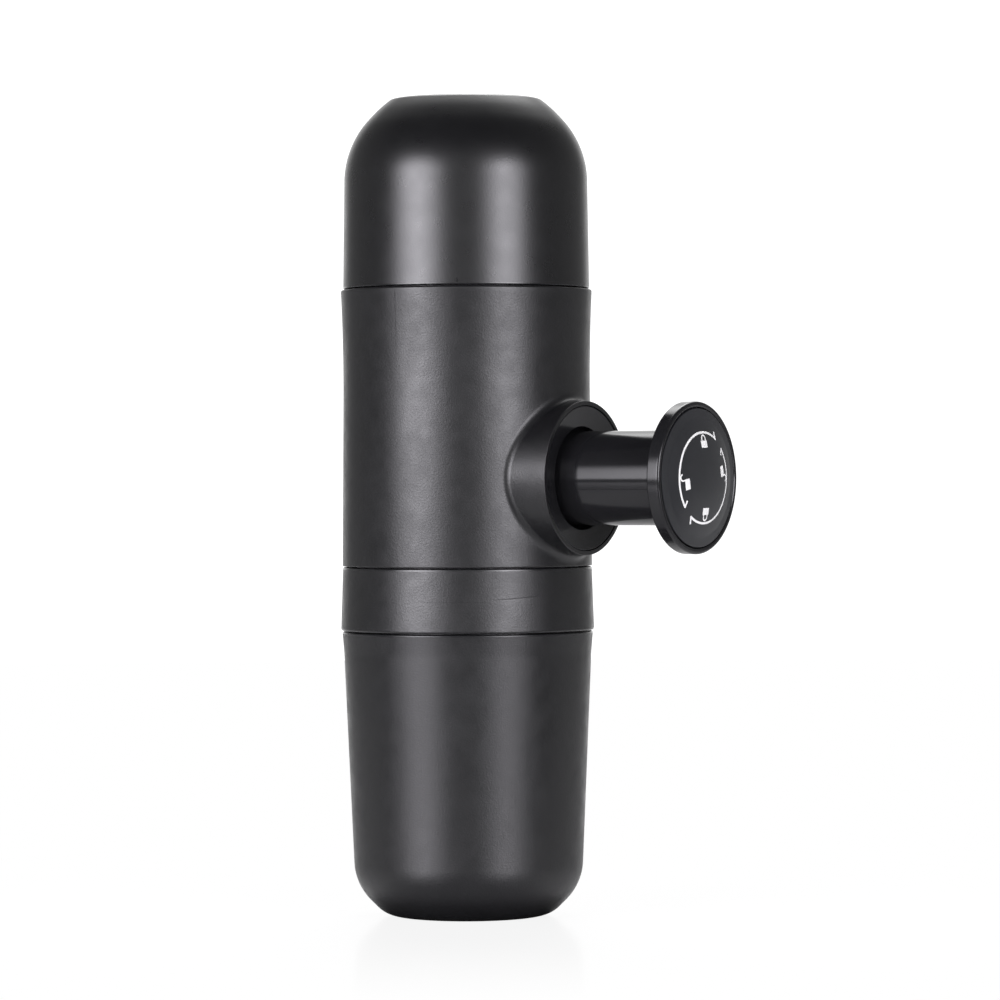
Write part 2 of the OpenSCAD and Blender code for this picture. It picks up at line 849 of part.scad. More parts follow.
module knob_screw() {
    head_x = skirt_floor_x + 1.2;
    color(steel) turned_along_pump() {
        band(0, 3, head_x, head_x + 1.1);
        band(0, 1.5, skirt_floor_x - 10, head_x + 0.5);
    }
}

module knob() {
    recess_x = disc_face_x - 1.3;
    front_round = 0.75;
    back_round = 0.4;
    root = 1.2;
    color(glossy_black) difference() {
        union() {
            turned_along_pump() difference() {
                union() {
                    band(0, skirt_r, skirt_end_x, disc_back_x + 1);
                    band(0, stop_r, skirt_end_x, stop_x);
                    // Disc, with a small round behind and a rounded rim in front
                    band(0, disc_r - back_round, disc_back_x, disc_face_x - front_round);
                    band(0, disc_r, disc_back_x + back_round, disc_face_x - front_round);
                    for (edge = [[front_round, disc_face_x - front_round],
                                 [back_round, disc_back_x + back_round]])
                        translate([disc_r - edge[0], edge[1]]) circle(r = edge[0], $fn = small_fn);
                    // Blend where the skirt meets the disc
                    difference() {
                        band(skirt_r - 0.5, skirt_r + root, disc_back_x - root, disc_back_x + 1);
                        translate([skirt_r + root, disc_back_x - root])
                            circle(r = root, $fn = small_fn);
                    }
                }
                difference() {
                    band(0, skirt_inner_r, skirt_end_x - 1, skirt_floor_x);
                    band(rod_r + running_fit, hub_r, hub_end_x, skirt_floor_x + 1);
                }
                band(0, cap_r + 0.1, recess_x, disc_face_x + 1);
                band(0, 1.8, skirt_floor_x - 1, disc_face_x);
                band(0, 3.4, skirt_floor_x + 1, disc_face_x);
            }
            // Two lugs inside the skirt's end
            intersection() {
                turned_along_pump()
                    band(lug_inner_r, skirt_inner_r + 0.5, skirt_end_x, skirt_end_x + lug_l);
                translate([0, -lug_w / 2, 0]) cube([disc_face_x, lug_w, top_z]);
            }
        }
    }
}

module knob_cap() {
    cap_x = disc_face_x - 1.3;
    edge = 0.3;
    margin_x = disc_face_x + 0.25;
    rise = disc_face_x + cap_rise - margin_x;
    dome_curve = (cap_dome_r * cap_dome_r + rise * rise) / (2 * rise);
    color(glossy_black) turned_along_pump() {
        polygon([
            [0, cap_x],
            [cap_r, cap_x],
            [cap_r, disc_face_x - edge],
            [cap_r - edge, disc_face_x],
            [cap_dome_r, margin_x],
            [0, margin_x]
        ]);
        arc_corner(
            [0, disc_face_x + cap_rise - dome_curve],
            dome_curve,
            [0, margin_x],
            [cap_dome_r, disc_face_x + cap_rise]
        );
    }
}

module top_plate() {
    lead = 0.8;
    inner_r = spigot_r - spigot_wall;
    color(dark_grey) difference() {
        turned() difference() {
            polygon([
                [0, plate_bottom_z],
                [body_inner_r, plate_bottom_z],
                [body_inner_r, body_top_z],
                [spigot_r, body_top_z],
                [spigot_r, spigot_top_z - lead],
                [spigot_r - lead, spigot_top_z],
                [0, spigot_top_z]
            ]);
            band(0, inner_r, plate_floor_z, spigot_top_z + 1);
        }
        translate([column_x, 0, plate_bottom_z - 1]) cylinder(r = 2.2, h = 4, $fn = small_fn);
        translate([column_back, 0, plate_bottom_z - 1]) cylinder(r = 1.6, h = 4, $fn = small_fn);
        for (side = [-1, 1])
            translate([column_x, side * screw_offset, plate_bottom_z - 1])
                cylinder(r = 1.6, h = 4, $fn = small_fn);
    }
}

module inlet_strainer() {
    strainer_r = 7.2;
    strainer_h = 3;
    sheet = 0.8;
    color(natural_plastic) translate([column_x, 0, plate_floor_z]) difference() {
        cylinder(r = strainer_r, h = strainer_h, $fn = round_fn);
        translate([0, 0, -1])
            cylinder(r = strainer_r - sheet, h = strainer_h - sheet + 1, $fn = round_fn);
        screen_holes([[1, 0], [6, 2.4], [12, 4.8]], 1, strainer_h + 1);
    }
}

module vent_valve() {
    color(silicone) translate([column_back, 0, plate_floor_z])
        rotate_extrude($fn = small_fn) polygon([
            [0, -3.4],
            [1.9, -2.6],
            [1.6, -2],
            [1.6, 0],
            [4.2, 0],
            [3.6, 0.7],
            [1.5, 1.3],
            [0, 1.3]
        ]);
}

// Four like screws: two up into the pump block from the group head, two down from the top plate
module frame_screws() {
    head_z = group_recess_z + 1.8;
    color(steel)
        for (side = [-1, 1]) {
            translate([column_x, side * screw_offset, 0]) {
                translate([0, 0, head_z - 1.6]) cylinder(r = 2.7, h = 1.6, $fn = small_fn);
                translate([0, 0, head_z - 0.5]) cylinder(r = 1.3, h = 6.5, $fn = small_fn);
                translate([0, 0, plate_floor_z]) cylinder(r = 2.7, h = 1.6, $fn = small_fn);
                translate([0, 0, plate_floor_z - 6]) cylinder(r = 1.3, h = 6.5, $fn = small_fn);
            }
        }
}

module tank_gasket() {
    z0 = spigot_top_z + face_gap;
    color(silicone) turned()
        band(spigot_r - spigot_wall - 0.2, thread_bore_r - 0.1, z0, z0 + gasket_t - face_gap);
}

// Filled half-section of the tank: a slight taper, a curve up to 45 degrees, a cone and a flat
module tank_half(inset, side_r) {
    curve_r = dome_curve_r - (tank_dome_r - side_r);
    curve_end = on_circle(dome_curve, curve_r, 45);
    flat_z = top_z - inset;
    edge_r = dome_edge_r;
    // The edge round touches the cone's 45 degree line and the flat top
    edge = [curve_end[0] + curve_end[1] - (flat_z - edge_r) - edge_r * sqrt(2), flat_z - edge_r];
    edge_start = on_circle(edge, edge_r, 45);
    polygon([
        [0, tank_bottom_z],
        [side_r, tank_bottom_z],
        [side_r, dome_start_z],
        curve_end,
        edge_start,
        [edge[0], flat_z],
        [0, flat_z]
    ]);
    arc_corner(dome_curve, curve_r, [curve_end[0], dome_start_z], [side_r, curve_end[1]]);
    arc_corner(edge, edge_r, [edge[0], edge_start[1]], [edge_start[0], flat_z]);
}

module water_tank() {
    rounding = 0.3;
    color(charcoal) turned() difference() {
        union() {
            tank_half(0, tank_dome_r);
            // Slight taper out to the lip, which is rounded below
            polygon([
                [0, tank_bottom_z],
                [tank_lip_r - rounding, tank_bottom_z],
                [tank_lip_r, tank_bottom_z + rounding],
                [tank_dome_r, dome_start_z],
                [0, dome_start_z]
            ]);
            translate([tank_lip_r - rounding, tank_bottom_z + rounding])
                circle(r = rounding, $fn = small_fn);
        }
        intersection() {
            tank_half(tank_dome_r - tank_inner_r, tank_inner_r);
            band(0, tank_inner_r, tank_step_z - 1, top_z);
        }
        band(0, thread_bore_r, tank_bottom_z - 1, tank_step_z);
    }
}

espresso_cup();
cup_seal();
outlet_head();
nozzle();
crema_plate();
filter_basket();
basket_screen();
group_gasket();
group_head();
shower_screen();
shower_screw();
housing();
collar();
pump_block();
pump_cylinder();
cylinder_cap();
bayonet_sleeve();
port_seals();
inlet_valve_seat();
inlet_poppet();
inlet_valve_spring();
outlet_poppet();
outlet_valve_spring();
piston_rod();
piston_seal();
return_spring();
spring_washer();
knob_screw();
knob();
knob_cap();
top_plate();
inlet_strainer();
vent_valve();
frame_screws();
tank_gasket();
water_tank();
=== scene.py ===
# Looks of a handheld manual espresso maker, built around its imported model.
# Sizes in the dictionaries are in mm and turns in degrees, unless a note says otherwise, and
# everything is made in metres in the model's own frame.
import json
import math

import bmesh
import bpy
from mathutils import Matrix, Vector


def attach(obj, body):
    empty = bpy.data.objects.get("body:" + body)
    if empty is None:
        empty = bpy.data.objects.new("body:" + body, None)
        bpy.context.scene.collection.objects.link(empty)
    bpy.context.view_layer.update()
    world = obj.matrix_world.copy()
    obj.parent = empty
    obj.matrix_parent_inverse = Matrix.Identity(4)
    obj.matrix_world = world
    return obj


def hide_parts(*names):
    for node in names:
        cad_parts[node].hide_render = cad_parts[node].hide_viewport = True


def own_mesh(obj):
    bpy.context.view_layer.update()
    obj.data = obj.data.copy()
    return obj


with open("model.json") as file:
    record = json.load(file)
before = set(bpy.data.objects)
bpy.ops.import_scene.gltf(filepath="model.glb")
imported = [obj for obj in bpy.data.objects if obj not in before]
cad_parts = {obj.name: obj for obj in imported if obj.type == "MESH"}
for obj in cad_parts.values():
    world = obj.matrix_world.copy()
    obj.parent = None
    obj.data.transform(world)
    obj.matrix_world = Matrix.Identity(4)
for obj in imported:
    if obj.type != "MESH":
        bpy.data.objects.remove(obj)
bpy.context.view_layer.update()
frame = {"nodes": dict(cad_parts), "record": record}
mm = 0.001
print("frame loaded:", len(frame["nodes"]), "nodes")

# Camera: a long lens almost level with the part, turned from straight on towards the plunger
photoView = {
    "turn": 33.5, "lift": 0.39, "roll": -0.25,
    "distance": 1200,
    "aimAside": 8.5,  # to the right of the part's axis
    "aimHeight": 107.4,
    "lens": 166.8,
    "clip": (0.05, 20),  # metres
}


def compass(turn, lift=0):
    # the way out from the part, where a turn of 0 is its front
    a, e = math.radians(turn), math.radians(lift)
    return Vector((math.sin(a) * math.cos(e), -math.cos(a) * math.cos(e), math.sin(e)))


def photoCamera():
    view = photoView
    camera = bpy.data.objects.new("camera", bpy.data.cameras.new("camera"))
    bpy.context.scene.collection.objects.link(camera)
    camera.data.lens = view["lens"]
    camera.data.clip_start, camera.data.clip_end = view["clip"]
    back = compass(view["turn"], view["lift"])
    aim = compass(view["turn"] + 90) * view["aimAside"] + Vector((0, 0, view["aimHeight"]))
    roll = Matrix.Rotation(math.radians(view["roll"]), 4, "Z")
    turned = back.to_track_quat("Z", "Y").to_matrix().to_4x4() @ roll
    camera.matrix_world = Matrix.Translation((aim + back * view["distance"]) * mm) @ turned
    bpy.context.scene.camera = camera


photoCamera()
print("camera set")


def srgb(text):
    parts = [int(text[i:i + 2], 16) / 255 for i in (1, 3, 5)]
    return [v / 12.92 if v <= 0.04045 else ((v + 0.055) / 1.055) ** 2.4 for v in parts] + [1]


def addNode(tree, kind, settings=None, links=None):
    node = tree.nodes.new(kind)
    for key, value in (settings or {}).items():
        if isinstance(key, int) or key in node.inputs:
            node.inputs[key].default_value = value
        else:
            setattr(node, key, value)
    for key, source in (links or {}).items():
        tree.links.new(source, node.inputs[key])
    return node


def newMaterial(name):
    material = bpy.data.materials.new(name)
    material.use_nodes = True
    tree = material.node_tree
    tree.nodes.clear()
    return material, tree


noiseBand = (0.3, 0.7)  # where most of a noise texture's values lie


def finishSurface(name, finish):
    # colour clouds, uneven gloss and a grain, each at a size in mm on the part
    material, tree = newMaterial(name)
    place = addNode(tree, "ShaderNodeTexCoord").outputs["Object"]
    if "stretch" in finish:
        place = addNode(tree, "ShaderNodeMapping", {"Scale": finish["stretch"]}, {
            "Vector": place,
        }).outputs["Vector"]
    noises = {}
    for key, detail in (("cloud", 3.0), ("patch", 2.0), ("grain", 2.0)):
        noises[key] = addNode(tree, "ShaderNodeTexNoise", {
            "Scale": 1 / (finish[key] * mm), "Detail": detail,
        }, {"Vector": place}).outputs["Fac"]
    colour = addNode(tree, "ShaderNodeValToRGB", links={"Fac": noises["cloud"]})
    for stop, position, tone in zip(colour.color_ramp.elements, noiseBand, ("dark", "light")):
        stop.position = position
        stop.color = srgb(finish[tone])
    gloss = addNode(tree, "ShaderNodeMapRange", {
        "From Min": noiseBand[0], "From Max": noiseBand[1],
        "To Min": finish["roughness"] - finish["spread"],
        "To Max": finish["roughness"] + finish["spread"],
    }, {"Value": noises["patch"]})
    bump = addNode(tree, "ShaderNodeBump", {
        "Strength": 1.0, "Distance": finish["depth"] * mm,
    }, {"Height": noises["grain"]})
    shader = addNode(tree, "ShaderNodeBsdfPrincipled", finish["sockets"], {
        "Base Color": colour.outputs["Color"],
        "Roughness": gloss.outputs["Result"],
        "Normal": bump.outputs["Normal"],
    })
    addNode(tree, "ShaderNodeOutputMaterial", links={"Surface": shader.outputs["BSDF"]})
    return material


# Charcoal ABS moulded in a spark-eroded tool: a soft sheen in wide bands and a fine grain. The
# tank's tool is a little finer than the rest, so its bands are brighter. The real grain is about
# 0.05 mm and is drawn at almost half a millimetre so that it shows.
tankAbs = finishSurface("absMouldedSatin", {
    "dark": "#0b0b0d", "light": "#0f0f11", "cloud": 22, "roughness": 0.29, "spread": 0.02,
    "patch": 5, "grain": 0.4, "depth": 0.018, "sockets": {"IOR": 1.54},
})
shellAbs = finishSurface("absMouldedMatt", {
    "dark": "#0e0e10", "light": "#131315", "cloud": 18, "roughness": 0.35, "spread": 0.045,
    "patch": 5, "grain": 0.45, "depth": 0.028, "sockets": {"IOR": 1.54},
})
# The same ABS where the tool's halves close and rub the grain smooth, so it is glossier; its colour
# is also painted lighter, a painted highlight in a bright thin line
rubbedAbsPaintedHighlight = finishSurface("absRubbedEdgePaintedHighlight", {
    "dark": "#141416", "light": "#19191b", "cloud": 18, "roughness": 0.20, "spread": 0.03,
    "patch": 4, "grain": 0.5, "depth": 0.004, "sockets": {"IOR": 1.54},
})
# Black ABS moulded in a polished tool: clear, dim reflections with a faint ripple
polishedAbs = finishSurface("absMouldedPolished", {
    "dark": "#151517", "light": "#19191b", "cloud": 15, "roughness": 0.14, "spread": 0.02,
    "patch": 7, "grain": 3, "depth": 0.004, "sockets": {"IOR": 1.43},
})
# Black ABS moulded with a satin face: an even, low sheen under the print
satinAbs = finishSurface("absMouldedFace", {
    "dark": "#1f2023", "light": "#242528", "cloud": 15, "roughness": 0.30, "spread": 0.02,
    "patch": 5, "grain": 0.5, "depth": 0.005, "sockets": {"IOR": 1.54},
})
# Dark polypropylene, moulded: waxy and a little uneven
innerPolypropylene = finishSurface("polypropyleneMoulded", {
    "dark": "#343437", "light": "#3b3b3f", "cloud": 12, "roughness": 0.42, "spread": 0.05,
    "patch": 4, "grain": 0.6, "depth": 0.006, "sockets": {"IOR": 1.49},
})
# Uncoloured PBT, moulded: creamy white with faint flow clouds
naturalPbt = finishSurface("pbtMoulded", {
    "dark": "#d9d4c6", "light": "#e4e0d4", "cloud": 9, "roughness": 0.42, "spread": 0.05,
    "patch": 4, "grain": 0.6, "depth": 0.006, "sockets": {"IOR": 1.55},
})
# Grey silicone, pressed: soft, with no clear reflections
pressedSilicone = finishSurface("siliconePressed", {
    "dark": "#82858a", "light": "#8f9297", "cloud": 6, "roughness": 0.55, "spread": 0.05,
    "patch": 3, "grain": 0.4, "depth": 0.006, "sockets": {"IOR": 1.41},
})
# Stainless steel, drawn and brushed round: fine lines that smear the light across them
brushedSteel = finishSurface("stainlessBrushed", {
    "dark": "#b4b5b6", "light": "#c8c8c8", "cloud": 3, "roughness": 0.30, "spread": 0.06,
    "patch": 2, "grain": 0.4, "depth": 0.004, "sockets": {"Metallic": 1.0},
    "stretch": (0.15, 0.15, 3.0),
})
# Pad-printing ink, white: matt, with a slightly uneven cover
padInk = finishSurface("inkPadPrinted", {
    "dark": "#dededd", "light": "#efefed", "cloud": 2, "roughness": 0.50, "spread": 0.05,
    "patch": 1, "grain": 0.3, "depth": 0.003, "sockets": {"IOR": 1.48},
})

slotMaterials = {
    "shell_abs": shellAbs,
    "gloss_abs": polishedAbs,
    "inner_plastic": innerPolypropylene,
    "natural_plastic": naturalPbt,
    "silicone": pressedSilicone,
    "steel": brushedSteel,
}
for part in frame["record"]["subparts"]:
    node = frame["nodes"][part["node"]]
    node.data.materials.clear()
    node.data.materials.append(slotMaterials[part["material_slot"]])
print("materials made and given to the model's nodes")

pumpHeight = 113  # of the pump's level axis
outerSkin = 31  # what lies further from the part's axis is its outside
sharpAngle = 32  # faces that meet at more than this keep a crisp edge
fineArc = 3  # step of the arcs in the large turned outlines


def upright(radius, height, angle):
    return radius * math.cos(angle), radius * math.sin(angle), height


def alongPump(radius, reach, angle):
    return reach, radius * math.cos(angle), pumpHeight + radius * math.sin(angle)


def roundCorners(corners, stepAngle=9):
    # corners are (radius, height) or (radius, height, round); a round becomes an arc
    outline = []
    for i, corner in enumerate(corners):
        here = Vector(corner[:2])
        if len(corner) == 2:
            outline.append(tuple(here))
            continue
        before = (Vector(corners[i - 1][:2]) - here).normalized()
        after = (Vector(corners[(i + 1) % len(corners)][:2]) - here).normalized()
        half = before.angle(after) / 2
        centre = here + (before + after).normalized() * (corner[2] / math.sin(half))
        start = here + before * (corner[2] / math.tan(half)) - centre
        end = here + after * (corner[2] / math.tan(half)) - centre
        sweep = math.atan2(start.x * end.y - start.y * end.x, start.dot(end))
        steps = max(3, math.ceil(abs(sweep) / math.radians(stepAngle)))
        for k in range(steps + 1):
            c, s = math.cos(sweep * k / steps), math.sin(sweep * k / steps)
            outline.append((
                centre.x + start.x * c - start.y * s,
                centre.y + start.x * s + start.y * c,
            ))
    return outline


class Shape:
    # points in mm and the faces between them

    def __init__(self):
        self.points = []
        self.faces = []

    def ring(self, points):
        first = len(self.points)
        self.points.extend(points)
        return list(range(first, len(self.points)))

    def join(self, ringA, ringB):
        count = len(ringA)
        for i in range(count):
            k = (i + 1) % count
            corners = list(dict.fromkeys((ringA[i], ringA[k], ringB[k], ringB[i])))
            if len(corners) > 2:
                self.faces.append(corners)

    def turn(self, outline, place=upright, around=160):
        rings = []
        angles = [2 * math.pi * i / around for i in range(around)]
        for radius, height in outline:
            if radius < 1e-6:  # on the axis
                rings.append(self.ring([place(0, height, 0)]) * around)
            else:
                rings.append(self.ring([place(radius, height, a) for a in angles]))
        for ringA, ringB in zip(rings, rings[1:] + rings[:1]):
            self.join(ringA, ringB)

    def tube(self, sections):
        # a closed bar through sections of equal length, capped at both ends
        rings = [self.ring(section) for section in sections]
        for ringA, ringB in zip(rings, rings[1:]):
            self.join(ringA, ringB)
        self.faces.append(rings[0][::-1])
        self.faces.append(rings[-1])


def rubSmoothPaintedHighlight(mesh, bands):
    # the outermost faces between each pair of heights take the rubbed finish, with its painted
    # highlight
    mesh.materials.append(rubbedAbsPaintedHighlight)
    slack = 0.01
    for face in mesh.polygons:
        heights = [mesh.vertices[i].co.z / mm for i in face.vertices]
        if face.center.xy.length / mm > outerSkin and any(
            low - slack < min(heights) and max(heights) < high + slack for low, high in bands
        ):
            face.material_index = 1


def addPiece(name, shape, material, body, slot, replaces=(), rubbedHighlight=()):
    mesh = bpy.data.meshes.new(name)
    mesh.from_pydata([Vector(p) * mm for p in shape.points], [], shape.faces)
    bm = bmesh.new()
    bm.from_mesh(mesh)
    bmesh.ops.recalc_face_normals(bm, faces=bm.faces)
    bm.to_mesh(mesh)
    bm.free()
    mesh.shade_smooth()
    mesh.set_sharp_from_angle(angle=math.radians(sharpAngle))
    piece = bpy.data.objects.new(name, mesh)
    bpy.context.scene.collection.objects.link(piece)
    mesh.materials.append(material)
    # edges in these height bands get the rubbed finish, whose lighter colour is a painted highlight
    if rubbedHighlight:
        rubSmoothPaintedHighlight(mesh, rubbedHighlight)
    weighted = piece.modifiers.new("weightedNormals", "WEIGHTED_NORMAL")
    weighted.keep_sharp = True
    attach(piece, body)
    if replaces:
        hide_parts(*replaces)
    return piece


# Water tank: a tapered cup upside down, with a domed end and a flat top
tank = {
    "lip": (31.85, 162.05), "lipRound": 0.3, "lipDraft": 0.008, "rubbedHighlightTop": 162.55,
    "domeStart": (31.45, 189.0), "domeCorner": (31.45, 198.941), "domeCurve": 24,
    "crown": (22.5, 208.54), "crownCurve": 30, "topCorner": (19.291, 211.1), "topCurve": 2.2,
    "innerTopCorner": (18.111, 208.25), "innerDomeCorner": (28.6, 197.761), "innerDomeCurve": 21.15,
    "step": 170.55, "bore": 29.4, "boreBevel": 0.3,
    "bump": {
        "turn": -60.3, "height": 163.1, "radius": 31.8,
        "proud": 0.28, "sunk": 0.3, "halfWide": 0.33, "halfTall": 0.5,
    },
}


def tankShell():
    t, bump = tank, tank["bump"]
    shape = Shape()
    shape.turn(roundCorners([
        (*t["lip"], t["lipRound"]),
        (t["lip"][0] - t["lipDraft"], t["rubbedHighlightTop"]),
        t["domeStart"],
        (*t["domeCorner"], t["domeCurve"]),
        (*t["crown"], t["crownCurve"]),
        (*t["topCorner"], t["topCurve"]),
        (0, t["topCorner"][1]),
        (0, t["innerTopCorner"][1]),
        (*t["innerTopCorner"], t["topCurve"]),
        (*t["innerDomeCorner"], t["innerDomeCurve"]),
        (t["innerDomeCorner"][0], t["step"]),
        (t["bore"], t["step"]),
        (t["bore"], t["lip"][1] + t["boreBevel"]),
        (t["bore"] + t["boreBevel"], t["lip"][1]),
    ], fineArc))
    # small moulded bump on the lip that lines up with the plunger's side
    out = compass(bump["turn"] + 90)
    side = Vector((-out.y, out.x, 0))
    middle = out * bump["radius"] + Vector((0, 0, bump["height"]))
    rings = []
    for climb in (0, 30, 60):
        proud = bump["proud"] * math.sin(math.radians(climb))
        share = math.cos(math.radians(climb))
        wide, tall = bump["halfWide"] * share, bump["halfTall"] * share
        rings.append([
            middle + out * proud + side * (wide * math.cos(a)) + Vector((0, 0, tall * math.sin(a)))
            for a in (math.radians(30 * i) for i in range(12))
        ])
    shape.tube([[point - out * bump["sunk"] for point in rings[0]]] + rings)
    return shape


addPiece("tankShell", tankShell(), tankAbs, "tank", "shell_abs", ["water_tank"],
         rubbedHighlight=[(tank["lip"][1], tank["rubbedHighlightTop"])])

# Housing: a waisted sleeve whose side boss grows out of it with a rolling blend
housing = {
    "low": 90.45, "high": 161.75, "seam": 90.3, "tall": 71.6,
    "lowRadius": 32.3, "waistRadius": 31.9, "topRadius": 32.5, "waist": 45.7, "flare": 2.2,
    "inner": 29.9, "topRound": 0.5, "lowRound": 0.3,
    "bossRadius": 19.7, "bossFace": 36.6, "bossRound": 0.2, "blend": 2.5, "blendSteps": 10,
    "seatRadius": 18.6, "seatReach": 30.2, "passage": 15.2,
    # grid of the walls: a square patch round the boss, and what lies beside and above it
    "patchTurn": 50, "patch": (90.75, 141), "innerPatch": (95, 131),
    "side": 36, "others": 94, "rings": 8, "rowsAbove": 16,
    # faint mould parting lines, a quarter turn from the plunger, that fade downwards
    "parting": {
        "turns": (-90, 90), "top": 0.6, "step": 1.9, "rows": 10,
        "halfWide": 0.12, "proud": 0.05, "sunk": 0.05,
    },
}


def housingRadius(height):
    h = height - housing["seam"]
    low, waist, top = housing["lowRadius"], housing["waistRadius"], housing["topRadius"]
    if h < housing["waist"]:
        return low + (waist - low) * h / housing["waist"]
    share = (h - housing["waist"]) / (housing["tall"] - housing["waist"])
    return waist + (top - waist) * share ** housing["flare"]


def blendArc(a):
    # the ball that rolls round the boss, as an arc from the sleeve to the boss
    y = (housing["bossRadius"] + housing["blend"]) * math.cos(a)
    z = (housing["bossRadius"] + housing["blend"]) * math.sin(a)
    x = math.sqrt((housingRadius(pumpHeight + z) + housing["blend"]) ** 2 - y * y)
    centre = Vector((x, y, z))
    toSleeve = -Vector((x, y, 0)).normalized()
    toBoss = -Vector((0, y, z)).normalized()
    wide = toSleeve.angle(toBoss)
    arc = []
    for k in range(housing["blendSteps"] + 1):
        t = k / housing["blendSteps"]
        way = (toSleeve * math.sin((1 - t) * wide) + toBoss * math.sin(t * wide)) / math.sin(wide)
        arc.append(centre + way * housing["blend"] + Vector((0, 0, pumpHeight)))
    return arc


def openWall(shape, radiusAt, opening, below, above, low, high):
    # a round wall as a grid, whose square patch narrows in rings to the opening's (turn, height)
    side = housing["side"]
    wide = math.radians(housing["patchTurn"])
    turns = [-wide + 2 * wide * j / side for j in range(side + 1)]
    rest = 2 * math.pi - 2 * wide
    turns += [wide + rest * (j + 1) / (housing["others"] + 1) for j in range(housing["others"])]
    heights = below + [low + (high - low) * k / side for k in range(side + 1)] + above
    first, last = len(below), len(below) + side
    grid = {}
    for k, height in enumerate(heights):
        for j, turn in enumerate(turns):
            if 0 < j < side and first < k < last:
                continue
            grid[j, k] = shape.ring([upright(radiusAt(height), height, turn)])[0]
    for k in range(len(heights) - 1):
        for j in range(len(turns)):
            if j < side and first <= k < last:
                continue
            n = (j + 1) % len(turns)
            shape.faces.append([grid[j, k], grid[n, k], grid[n, k + 1], grid[j, k + 1]])
    border = [(side, first + i) for i in range(side)] + [(side - i, last) for i in range(side)]
    border += [(0, last - i) for i in range(side)] + [(i, first) for i in range(side)]
    ring = [grid[spot] for spot in border]
    for r in range(1, housing["rings"] + 1):
        t = r / housing["rings"]
        points = []
        for (j, k), (turn, height) in zip(border, opening):
            h = heights[k] * (1 - t) + height * t
            points.append(upright(radiusAt(h), h, turns[j] * (1 - t) + turn * t))
        narrower = shape.ring(points)
        shape.join(ring, narrower)
        ring = narrower
    ends = [[grid[j, k] for j in range(len(turns))] for k in (0, len(heights) - 1)]
    return ring, ends


quarter = [math.radians(18 * k) for k in range(6)]  # a quarter circle in five steps


def roundRim(shape, wallEdge, innerEdge, start, curve, up):
    # a quarter round from the outer wall's edge at the start height, and across to the inner wall's
    ways = [Vector((*shape.points[i][:2], 0)).normalized() for i in wallEdge]
    ring = wallEdge
    for s in quarter[1:]:
        reach = housingRadius(start) - curve + curve * math.cos(s)
        rise = Vector((0, 0, start + up * curve * math.sin(s)))
        further = shape.ring([way * reach + rise for way in ways])
        shape.join(ring, further)
        ring = further
    shape.join(ring, innerEdge)


def partingLines(shape):
    line = housing["parting"]
    for turn in line["turns"]:
        out = compass(turn + 90)
        side = Vector((-out.y, out.x, 0)) * line["halfWide"]
        sections = []
        for k in range(line["rows"]):
            height = housing["high"] - line["top"] - line["step"] * k
            proud = line["proud"] * (1 - k / line["rows"])
            foot = out * (housingRadius(height) - line["sunk"]) + Vector((0, 0, height))
            sections.append([foot - side, foot + out * (line["sunk"] + proud), foot + side])
        shape.tube(sections)


def housingShell():
    low, high = housing["low"], housing["high"]
    wallLow, wallHigh = low + housing["lowRound"], high - housing["topRound"]
    patchLow, patchHigh = housing["patch"]
    rows = housing["rowsAbove"]
    inner, passage = housing["inner"], housing["passage"]
    angles = [math.radians(-45 + 90 * i / housing["side"]) for i in range(4 * housing["side"])]
    arcs = [blendArc(a) for a in angles]
    shape = Shape()
    # outer wall
    outerRing, (outerLow, outerHigh) = openWall(
        shape, housingRadius, [(math.atan2(arc[0].y, arc[0].x), arc[0].z) for arc in arcs],
        [], [patchHigh + (wallHigh - patchHigh) * (k + 1) / rows for k in range(rows)],
        patchLow, patchHigh,
    )
    # blend, boss and the seat for its collar
    rings = [outerRing]
    rings += [shape.ring([arc[k] for arc in arcs]) for k in range(1, housing["blendSteps"] + 1)]
    lip = housing["bossRound"]
    lipRadius, lipReach = housing["bossRadius"] - lip, housing["bossFace"] - lip
    outline = [(lipRadius + lip * math.cos(s), lipReach + lip * math.sin(s)) for s in quarter]
    outline += [
        (housing["seatRadius"], housing["bossFace"]),
        (housing["seatRadius"], housing["seatReach"]),
        (passage, housing["seatReach"]),
    ]
    for radius, reach in outline:
        rings.append(shape.ring([alongPump(radius, reach, a) for a in angles]))
    # inner wall
    mouth = [
        (math.asin(passage * math.cos(a) / inner), pumpHeight + passage * math.sin(a))
        for a in angles
    ]
    innerRing, (innerLow, innerHigh) = openWall(
        shape, lambda height: inner, mouth, [low], [high], *housing["innerPatch"],
    )
    rings.append(innerRing)
    for ringA, ringB in zip(rings, rings[1:]):
        shape.join(ringA, ringB)
    roundRim(shape, outerHigh, innerHigh, wallHigh, housing["topRound"], 1)
    roundRim(shape, outerLow, innerLow, wallLow, housing["lowRound"], -1)
    partingLines(shape)
    return shape


addPiece("housingShell", housingShell(), shellAbs, "main_body", "shell_abs", ["housing"])
print("tank and housing made")

